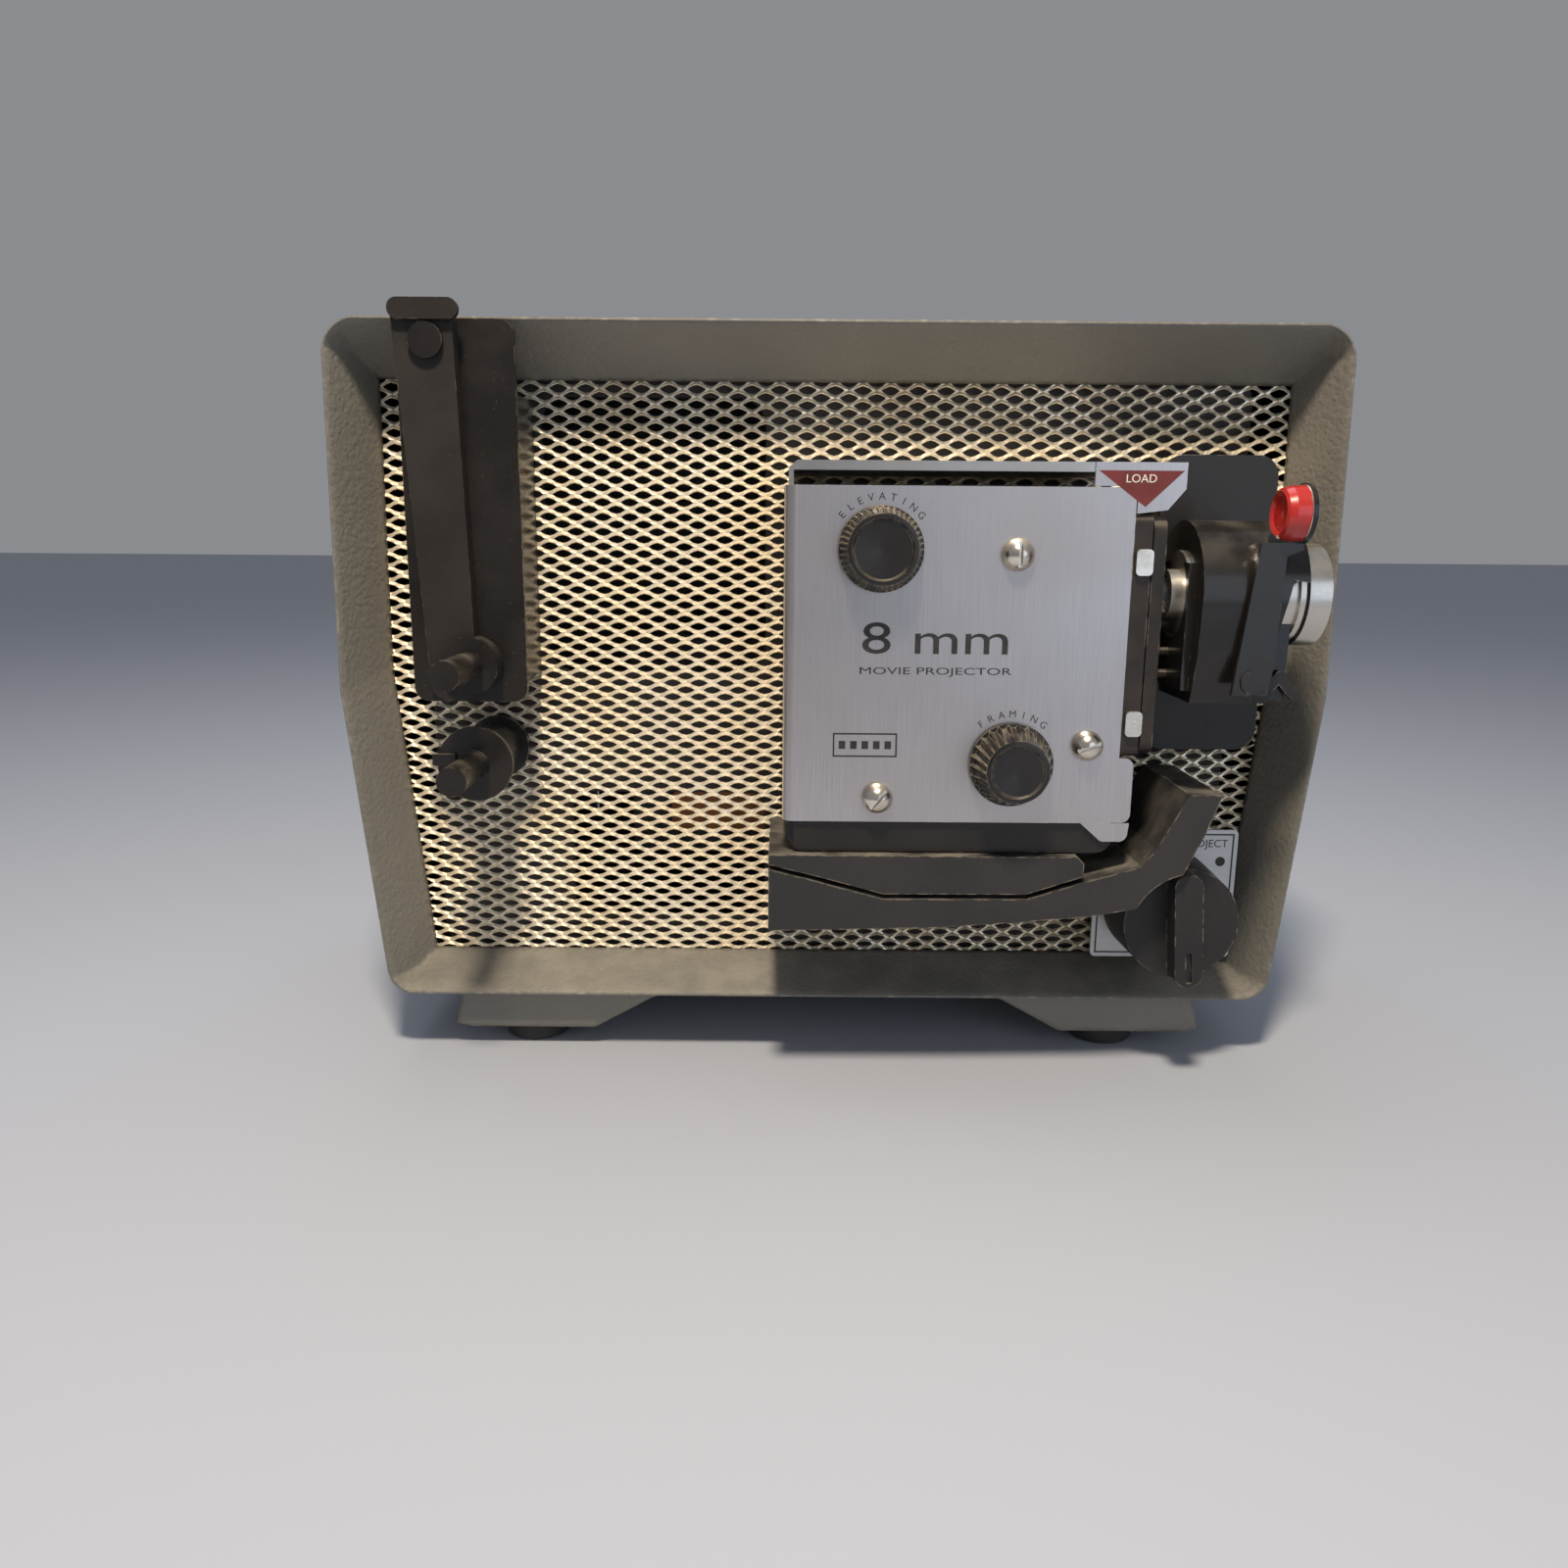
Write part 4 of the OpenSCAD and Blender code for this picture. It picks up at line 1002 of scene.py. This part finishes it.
@dataclass
class Case:
    """Case, rails, feet, back panel and carrying handle."""

    finishes: Finishes
    foot_radius: float = 10.0 * MM
    foot_edge: float = 1.2 * MM
    louvre_width: float = 42.0 * MM
    louvre_depth: float = 2.2 * MM
    louvre_height: float = 6.0 * MM
    louvre_middle: float = 103.2 * MM
    louvre_sheet: float = 0.5 * MM
    louvre_steps: int = 5
    louvre_columns: int = 3
    louvre_rows: int = 10
    louvre_field: tuple[float, float] = (120.0 * MM, 90.0 * MM)

    def dress(self) -> None:
        """Puts the finishes on the nodes of the case."""
        for node in ("case_shell", "rear_panel", "base_rails"):
            self.finishes.on_node(node, "case_enamel")
        for node in ("rear_panel_screws", "handle_brackets"):
            self.finishes.on_node(node, "nickel")
        self.finishes.on_node("carry_handle", "turned_steel")
        self.finishes.on_node("handle_grip", "matte_black")
        self.finishes.on_node("power_inlet", "knob_black")

    def feet(self) -> None:
        """Turned rubber feet with a rounded edge and a screw recess."""
        low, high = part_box("rubber_feet")
        r, e, h = self.foot_radius, self.foot_edge, high.z - low.z
        profile = [(0, h), (r, h), (r, e), (r - 0.3 * e, 0.3 * e), (r - e, 0),
                   (3.6 * MM, 0), (3.0 * MM, 0.4 * MM), (2.6 * MM, 2.2 * MM), (0, 2.2 * MM)]
        bm = bmesh.new()
        for x in (low.x + r, high.x - r):
            for y in (low.y + r, high.y - r):
                lathe(bm, profile, Vector((x, y, low.z)), Axis.Z)
        feet = mesh_object("rubber_feet_turned", bm, smooth=True)
        self.finishes.on_piece(feet, "foot_rubber")
        settle(feet, "body", "rubber", "rubber_feet")

    def louvres(self) -> None:
        """Pressed hoods over the slots of the back panel."""
        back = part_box("rear_panel")[1].y
        w, d, h = self.louvre_width / 2, self.louvre_depth, self.louvre_height
        steps = self.louvre_steps
        bm = bmesh.new()
        section = [(d * math.sin(a), h * math.cos(a))
                   for a in (math.pi / 2 * i / steps for i in range(steps + 1))]
        inner = [(max(y - self.louvre_sheet, 0.0), max(z - self.louvre_sheet, 0.0))
                 for y, z in section]
        ring = section + inner[::-1]
        sides = [[bm.verts.new((x, y, z)) for y, z in ring] for x in (-w, w)]
        count = len(ring)
        for i in range(count):
            j = (i + 1) % count
            bm.faces.new((sides[0][i], sides[0][j], sides[1][j], sides[1][i]))
        for side in sides:
            bm.faces.new(side)
        hood = mesh_object("hood", bm)
        middle = Vector((0.0, back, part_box("case_shell")[0].z + self.louvre_middle))
        piece = line_tree().shape(
            "rear_louvres", Shape=hood, Columns=self.louvre_columns, Rows=self.louvre_rows,
            Width=self.louvre_field[0], Height=self.louvre_field[1], Centre=middle,
            Finish=self.finishes["case_enamel"])
        drop(hood)
        settle(piece, "body", "case_paint")

    def build(self) -> None:
        """Builds and dresses the case."""
        self.dress()
        self.feet()
        self.louvres()


@dataclass
class Grille:
    """Expanded-metal panel behind the front rim."""

    finishes: Finishes
    pitch_x: float = 8.0 * MM
    pitch_z: float = 4.26 * MM
    hole_w: float = 5.35 * MM
    hole_h: float = 2.6 * MM
    rise: float = 0.75 * MM
    sheet: float = 0.36 * MM
    under_top: float = 10.5 * MM
    under_foot: float = 4.5 * MM
    under_side: float = 6.0 * MM
    taper: float = 8.0 * MM
    kink_share: float = 0.47
    clear: float = 1.0 * MM
    plate_lap_x: float = 6.0 * MM
    plate_lap_z: float = 12.0 * MM
    guide_gap: float = 20.0 * MM

    def cell(self) -> bpy.types.Object:
        """One rhombus of sheet round an eye-shaped hole, its strands tipped to look up."""
        bm = bmesh.new()
        count = 12
        outer, inner = [], []
        for i in range(count):
            a = math.tau * i / count
            c, s = math.cos(a), math.sin(a)
            reach = 1.0 / (abs(c) / (self.pitch_x / 2) + abs(s) / (self.pitch_z / 2))
            outer.append(bm.verts.new((c * reach, 0, s * reach)))
            x = self.hole_w / 2 * c
            lid = self.hole_h / 2 * (1 - abs(c) ** 1.9)
            z = math.copysign(lid, s) if abs(s) > 1e-6 else 0.0
            tip = -self.rise * z / (self.hole_h / 2)
            inner.append(bm.verts.new((x, tip, z)))
        for i in range(count):
            j = (i + 1) % count
            bm.faces.new((outer[i], outer[j], inner[j], inner[i]))
        return mesh_object("cell", bm)

    def area(self) -> bpy.types.Object:
        """Flat guide: the panel's outline without the places that the mechanism covers.

        Returns:
            A helper object whose faces lie behind the cells to keep.
        """
        low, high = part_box("grille_panel")
        kink = low.z + (high.z - low.z) * self.kink_share
        house_low, house_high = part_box("mechanism_housing")
        plate_low, plate_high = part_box("lens_backplate")
        plate_foot = plate_low.z + self.plate_lap_z
        edges = sorted((low.z + self.under_foot, house_low.z, kink, plate_foot, house_high.z,
                        high.z - self.under_top))

        def side(z: float) -> float:
            """Half width of the panel at a height."""
            fall = max(0.0, (kink - z) / (kink - low.z))
            return high.x - self.under_side - self.taper * fall

        bm = bmesh.new()
        y = low.y + self.guide_gap
        for z0, z1 in zip(edges, edges[1:]):
            spans = [(-1, 1)]
            if house_low.z <= z0 and z1 <= house_high.z:
                right = house_high.x + self.clear
                if z0 >= plate_foot:
                    right = plate_high.x - self.plate_lap_x
                spans = [(-1, house_low.x - self.clear), (right, 1)]
            for span in spans:
                corners = ((z0, span[0]), (z0, span[1]), (z1, span[1]), (z1, span[0]))
                bm.faces.new([bm.verts.new((x * side(z) if abs(x) == 1 else x, y, z))
                              for z, x in corners])
        return mesh_object("area", bm)

    def build(self) -> None:
        """Builds the panel and puts it in the plain sheet's place."""
        low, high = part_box("grille_panel")
        cell, area = self.cell(), self.area()
        middle = Vector((0.0, low.y + 0.5 * MM, (low.z + high.z) / 2))
        panel = cell_field_tree().shape(
            "expanded_mesh", Cell=cell, Area=area, Pitch_X=self.pitch_x, Pitch_Z=self.pitch_z,
            Columns=math.ceil((high.x - low.x) / self.pitch_x),
            Rows=math.ceil((high.z - low.z) / self.pitch_z), Centre=middle, Weld=0.02 * MM,
            Finish=self.finishes["mesh_metal"])
        drop(cell, area)
        thick = panel.modifiers.new("thickness", "SOLIDIFY")
        thick.thickness = self.sheet
        thick.offset = 0.0
        solid = evaluated(panel)
        panel.modifiers.clear()
        panel.data = solid
        self.finishes.on_piece(panel, "mesh_metal")
        LOG.info("expanded mesh has %d faces", len(solid.polygons))
        settle(panel, "body", "grille_metal", "grille_panel")


@dataclass
class Knob:
    """Conical knob with ridges round its skirt and a dished, turned face."""

    finishes: Finishes
    node: str
    body: str
    name: str
    ridges: int
    ridge_depth: float
    foot_radius: float
    top_radius: float
    height: float
    twist: float = 0.0
    edge: ClassVar[float] = 0.4 * MM
    band: ClassVar[float] = 1.2 * MM
    dish_inset: ClassVar[float] = 1.9 * MM
    dish_rim: ClassVar[float] = 0.6 * MM
    dish_depth: ClassVar[float] = 0.5 * MM
    dish_steps: ClassVar[int] = 7
    ridge_share: ClassVar[float] = 0.62

    def build(self) -> None:
        """Builds the knob and puts it in the node's place."""
        axis = centre_of(self.node)
        front = front_of(self.node)
        foot = front + self.height
        r0, r1, h = self.foot_radius, self.top_radius, self.height
        d = self.ridge_depth
        profile = [(0, 0), (r0 - self.edge, 0), (r0, self.edge), (r0, self.band),
                   (r0 - d - 0.2 * MM, 1.5 * MM), (r1 - d * 0.4, h - 0.9 * MM),
                   (r1 - 0.2 * MM, h - 0.3 * MM), (r1 - 0.9 * MM, h),
                   (r1 - 1.5 * MM, h - 0.1 * MM), (r1 - self.dish_inset, h - self.dish_rim)]
        for i in range(1, self.dish_steps + 1):
            t = i / self.dish_steps
            profile.append(((r1 - self.dish_inset) * (1 - t),
                            h - self.dish_rim - self.dish_depth * t))
        bm = bmesh.new()
        lathe(bm, profile, Vector((0, 0, 0)), Axis.Z, steps=96)
        body = mesh_object("knob_body", bm, smooth=True)
        bm = bmesh.new()
        half = math.pi * r0 / self.ridges * self.ridge_share
        slope = r0 - r1
        z0, z1 = self.band, h - 0.7 * MM
        rows = []
        for z, width in ((z0, half), (z1, half * 0.8)):
            lean = -slope * (z - z0) / (z1 - z0)
            skew = self.twist * (z - z0) / (z1 - z0)
            rows.append([bm.verts.new((-d * 1.4 + lean, -width + skew, z)),
                         bm.verts.new((-0.15 * MM + lean, skew, z)),
                         bm.verts.new((-d * 1.4 + lean, width + skew, z))])
        bm.faces.new(rows[0])
        bm.faces.new(rows[1])
        for i in range(3):
            j = (i + 1) % 3
            bm.faces.new((rows[0][i], rows[0][j], rows[1][j], rows[1][i]))
        ridge = mesh_object("knob_ridge", bm)
        knob = RIDGES.shape(self.name, Body=body, Ridge=ridge, Count=self.ridges, Radius=r0,
                            Centre=Vector((axis.x, foot, axis.z)),
                            Turn=Vector((math.radians(90), 0, 0)),
                            Finish=self.finishes["knob_black"])
        drop(body, ridge)
        settle(knob, self.body, "black_plastic", self.node)


@dataclass
class Mechanism:
    """Housing, cover plate, its printing, chute and knobs."""

    finishes: Finishes
    print_gap: float = 0.03 * MM
    margin: float = 13.6 * MM
    word_middle: float = 27.0 * MM
    small_size: float = 2.7 * MM
    title_size: float = 12.0 * MM
    title_drop: float = 43.5 * MM
    title_widen: float = 1.45
    kind_drop: float = 49.0 * MM
    kind_widen: float = 1.75
    elevating_arc: float = 12.6 * MM
    elevating_spread: float = 50.0
    framing_arc: float = 12.8 * MM
    framing_spread: float = 38.0
    mark_drop: float = 71.6 * MM
    mark_width: float = 17.4 * MM
    mark_height: float = 6.6 * MM
    mark_line: float = 0.45 * MM
    mark_holes: int = 5
    mark_reach: float = 12.4 * MM
    hole_half_x: float = 0.9 * MM
    hole_half_z: float = 1.1 * MM
    tab_left: float = 0.9 * MM
    tab_right: float = 0.7 * MM
    tab_drop: float = 2.1 * MM
    tip_back: float = 9.6 * MM
    tip_drop: float = 9.2 * MM
    load_size: float = 3.0 * MM
    border_inset: float = 1.2 * MM
    border_line: float = 0.5 * MM
    dot_radius: float = 1.5 * MM
    dot_inset: float = 5.0 * MM
    dot_drop: float = 10.0 * MM
    label_size: float = 3.4 * MM
    label_inset: float = 9.8 * MM
    label_drop: float = 5.4 * MM

    def dress(self) -> None:
        """Puts the finishes on the mechanism's nodes."""
        on = self.finishes.on_node
        for node in ("mechanism_housing", "lens_backplate"):
            on(node, "black_enamel")
        for node in ("cover_plate", "load_tab", "guide_ear"):
            on(node, "brushed_plate")
        on("top_film_guide", "turned_steel")
        on("cover_screws", "nickel")
        for node in ("film_chute", "upper_film_guide"):
            on(node, "cast_charcoal")
        on("control_knob", "matte_black")
        on("label_plate", "label_white")
        for node in ("elevating_shaft", "elevating_leg", "leg_guide"):
            on(node, "turned_steel")

    def put(self, name: str, bm: bmesh.types.BMesh, finish: str, slot: str) -> None:
        """Finishes one printed shape and settles it on the body.

        Args:
            name: Name of the piece.
            bm: Its mesh, in place.
            finish: Its finish.
            slot: Not used; only passed on to settle.
        """
        piece = mesh_object(name, bm)
        self.finishes.on_piece(piece, finish)
        settle(piece, "body", slot)

    def plate_words(self, write: Lettering) -> None:
        """Prints the words of the cover plate."""
        low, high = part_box("cover_plate")
        y = low.y - self.print_gap
        middle = low.x + self.margin + self.word_middle
        parts = write.arc("ELEVATING", centre_of("elevating_knob"), y, self.elevating_arc,
                          self.elevating_spread, self.small_size)
        parts += write.arc("FRAMING", centre_of("framing_knob"), y, self.framing_arc,
                           self.framing_spread, self.small_size)
        parts.append(("8 mm", self.title_size, write.face(
            middle, y, high.z - self.title_drop, widen=self.title_widen)))
        parts.append(("MOVIE PROJECTOR", self.small_size, write.face(
            middle, y, high.z - self.kind_drop, widen=self.kind_widen)))
        settle(write.piece("plate_words", parts, "printed_black"), "body", "black_enamel")

    def film_mark(self) -> None:
        """Prints a strip of film in a frame, low on the cover plate."""
        low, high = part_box("cover_plate")
        y, left, foot = low.y - self.print_gap, low.x + self.margin, high.z - self.mark_drop
        bm = bmesh.new()
        frame_strip(bm, (left, foot), (left + self.mark_width, foot + self.mark_height),
                    self.mark_line, y, low.y)
        self.put("film_mark_frame", bm, "printed_black", "black_enamel")
        bm = bmesh.new()
        w, h = self.hole_half_x, self.hole_half_z
        prism(bm, [(-w, -h), (w, -h), (w, h), (-w, h)], 0, self.print_gap)
        hole = mesh_object("hole", bm)
        marks = line_tree().shape(
            "film_mark_holes", Shape=hole, Columns=self.mark_holes, Rows=1,
            Width=self.mark_reach, Height=0.0,
            Centre=Vector((left + self.mark_width / 2, y, foot + self.mark_height / 2)),
            Finish=self.finishes["printed_black"])
        drop(hole)
        settle(marks, "body", "black_enamel")

    def load_printing(self, write: Lettering) -> None:
        """Prints the red marker and its word on the load tab."""
        low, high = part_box("load_tab")
        y = low.y - self.print_gap
        x0, x1, top = low.x + self.tab_left, high.x - self.tab_right, high.z - self.tab_drop
        bm = bmesh.new()
        prism(bm, [(x0, top), (x1, top), (x1 - self.tip_back, top - self.tip_drop)], y, low.y)
        self.put("load_marker", bm, "printed_red", "red_plastic")
        word = write.piece("load_word", [("LOAD", self.load_size, write.face(
            (x0 + x1) / 2, y - 2 * self.print_gap, top - self.load_size))], "printed_white")
        settle(word, "body", "label")

    def label_printing(self, write: Lettering) -> None:
        """Prints the border, the dot and the word of the switch's plate."""
        low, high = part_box("label_plate")
        y, inset = low.y - self.print_gap, self.border_inset
        bm = bmesh.new()
        frame_strip(bm, (low.x + inset, low.z + inset), (high.x - inset, high.z - inset),
                    self.border_line, y, low.y)
        r, h = self.dot_radius, self.print_gap
        lathe(bm, [(0, 0), (r, 0), (r, h), (0, h)],
              Vector((high.x - self.dot_inset, low.y, high.z - self.dot_drop)), Axis.Y)
        self.put("label_border", bm, "printed_black", "black_enamel")
        word = write.piece("label_words", [("PROJECT", self.label_size, write.face(
            high.x - self.label_inset, y, high.z - self.label_drop))], "printed_black")
        settle(word, "body", "black_enamel")

    def knobs(self) -> None:
        """Builds the two serrated knobs."""
        Knob(self.finishes, "elevating_knob", "elevating_knob", "elevating_knob_turned", 44,
             0.55 * MM, 11.2 * MM, 9.4 * MM, 8.5 * MM).build()
        Knob(self.finishes, "framing_knob", "framing_knob", "framing_knob_turned", 26,
             0.9 * MM, 11.4 * MM, 8.6 * MM, 11.5 * MM, twist=0.5 * MM).build()

    def build(self) -> None:
        """Builds and dresses the mechanism."""
        self.dress()
        write = Lettering(self.finishes)
        self.plate_words(write)
        self.film_mark()
        self.load_printing(write)
        self.label_printing(write)
        self.knobs()


@dataclass
class Optics:
    """Gate, lens, its lever and the light path."""

    finishes: Finishes
    ring_width: float = 1.6 * MM
    ring_lip: float = 0.45 * MM
    ring_wall: float = 1.3 * MM
    ring_edge: float = 0.3 * MM
    ring_sink: float = 0.15 * MM

    def build(self) -> None:
        """Dresses the optics and adds the ring of the red button."""
        on = self.finishes.on_node
        on("lens_holder", "holder_enamel")
        on("lens_barrel", "satin_lens_metal")
        for node in ("lens_glass", "condenser_lens", "lamp_bulb"):
            on(node, "clear_glass")
        on("gate_clips", "nickel")
        on("aperture_plate", "track_dark")
        on("gate_lever", "holder_enamel")
        on("pressure_plate", "track_dark")
        on("hook_lever", "black_enamel")
        on("lever_button", "red_plastic")
        for node in ("beam_mirror", "lamp_reflector"):
            on(node, "silvered")
        on("lamp_socket", "brass_socket")
        for node in ("condenser_mount", "lamp_house"):
            on(node, "inner_steel")
        self.button_ring()

    def button_ring(self) -> None:
        """Adds the bright ring round the red button."""
        low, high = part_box("lever_button")
        middle = (low + high) / 2
        w = self.ring_width
        r = (high.z - low.z) / 2 + self.ring_lip
        inner, edge = r - self.ring_wall, r - self.ring_edge
        middle.x = high.x + w / 2 - self.ring_sink
        bm = bmesh.new()
        lathe(bm, [(inner, -w / 2), (edge, -w / 2), (r, -w / 4), (r, w / 4), (edge, w / 2),
                   (inner, w / 2)], middle, Axis.X, steps=72)
        ring = mesh_object("button_ring", bm, smooth=True)
        self.finishes.on_piece(ring, "nickel")
        settle(ring, "gate_lever", "nickel")


@dataclass
class Reels:
    """Folding arm, its bracket and the two spindles."""

    finishes: Finishes

    def build(self) -> None:
        """Dresses the arm and spindles."""
        for node in ("arm_bracket", "supply_spindle", "takeup_spindle", "takeup_bearing"):
            self.finishes.on_node(node, "black_enamel")
        self.finishes.on_node("supply_arm", "arm_enamel")
        self.finishes.on_node("takeup_pulley", "brown_moulding")


@dataclass
class Works:
    """Motor, belts, switch and the parts inside the case."""

    finishes: Finishes

    def build(self) -> None:
        """Dresses the parts inside the case."""
        on = self.finishes.on_node
        on("chassis_plate", "inner_steel")
        on("motor_bracket", "inner_steel")
        on("motor_stator", "core_iron")
        on("motor_coil", "copper_winding")
        on("motor_shaft", "turned_steel")
        on("cooling_fan", "satin_lens_metal")
        on("main_shaft", "turned_steel")
        on("shutter", "matte_black")
        on("film_claw", "turned_steel")
        on("switch_body", "brown_moulding")
        for node in ("drive_belt", "takeup_belt"):
            on(node, "foot_rubber")


# --------------------------------------------------------------------------------------
# Stage
# --------------------------------------------------------------------------------------


@dataclass(frozen=True)
class View:
    """Where the main camera stands and how it looks."""

    place: Point = (-0.0139, -0.3831, 0.1579)
    pitch: float = 12.2
    roll: float = 0.45
    lens: float = 27.14
    sensor: float = 36.0

    def build(self) -> None:
        """Makes the camera and sets it as the scene's."""
        data = bpy.data.cameras.new("main_camera")
        data.lens = self.lens
        data.sensor_width = self.sensor
        data.clip_start = 0.01
        camera = link(bpy.data.objects.new("main_camera", data))
        tilt, turn = math.radians(self.pitch), math.radians(self.roll)
        forward = Vector((0, math.cos(tilt), -math.sin(tilt)))
        right = Vector((1, 0, 0))
        up = right.cross(forward)
        right, up = (right * math.cos(turn) + up * math.sin(turn),
                     up * math.cos(turn) - right * math.sin(turn))
        camera.matrix_world = Matrix((
            (right.x, up.x, -forward.x, self.place[0]),
            (right.y, up.y, -forward.y, self.place[1]),
            (right.z, up.z, -forward.z, self.place[2]),
            (0, 0, 0, 1)))
        bpy.context.scene.camera = camera


@dataclass(frozen=True)
class Lamp:
    """One soft studio light."""

    name: str
    place: Point
    aim: Point
    size: float
    power: float
    colour: Colour

    def build(self) -> None:
        """Makes the light."""
        data = bpy.data.lights.new(self.name, "AREA")
        data.shape = "DISK"
        data.size = self.size
        data.energy = self.power
        data.color = self.colour
        lamp = link(bpy.data.objects.new(self.name, data))
        lamp.location = self.place
        lamp.rotation_euler = (Vector(self.aim) - Vector(self.place)).to_track_quat(
            "-Z", "Y").to_euler()


@dataclass
class Studio:
    """Pale floor, soft lights and the camera."""

    floor_half: float = 6.0
    floor_colour: Colour = (0.42, 0.45, 0.52)
    world: Colour = (0.92, 0.94, 1.0)
    world_strength: float = 0.28
    floor_drop: float = 0.2 * MM
    floor_roughness: float = 0.8

    def floor(self) -> None:
        """Plain pale floor under the feet."""
        bm = bmesh.new()
        s = self.floor_half
        bm.faces.new([bm.verts.new((x, y, -self.floor_drop)) for x, y in
                      ((-s, -s), (s, -s), (s, s), (-s, s))])
        ground = mesh_object("studio_floor", bm)
        material = bpy.data.materials.new("studio_floor")
        material.use_nodes = True
        shader = material.node_tree.nodes["Principled BSDF"]
        shader.inputs["Base Color"].default_value = (*self.floor_colour, 1)
        shader.inputs["Roughness"].default_value = self.floor_roughness
        ground.data.materials.append(material)

    def build(self) -> None:
        """Builds the stage."""
        self.floor()
        world = bpy.data.worlds.new("studio")
        world.use_nodes = True
        back = world.node_tree.nodes["Background"]
        back.inputs["Color"].default_value = (*self.world, 1)
        back.inputs["Strength"].default_value = self.world_strength
        bpy.context.scene.world = world
        for lamp in (
            Lamp("key", (-0.05, -0.44, 0.80), (0.0, -0.05, 0.10), 0.11, 8.0, (1.0, 0.86, 0.68)),
            Lamp("fill", (0.5, -0.9, 0.25), (0.0, 0.0, 0.10), 0.8, 1.6, (0.74, 0.84, 1.0)),
            Lamp("top", (-0.1, 0.3, 1.1), (0.0, 0.0, 0.10), 0.9, 3.0, (0.90, 0.94, 1.0)),
        ):
            lamp.build()
        View().build()
        bpy.context.scene.view_settings.view_transform = "Standard"


RIDGES = ridge_ring_tree()


def main() -> None:
    """Builds every sub-assembly in order."""
    logging.basicConfig(level=logging.INFO, format="%(name)s: %(message)s")
    finishes = Finishes()
    for assembly in (Case(finishes), Grille(finishes), Mechanism(finishes), Optics(finishes),
                     Reels(finishes), Works(finishes)):
        assembly.build()
        LOG.info("%s done", type(assembly).__name__)
    Studio().build()


if __name__ == "__main__":
    main()
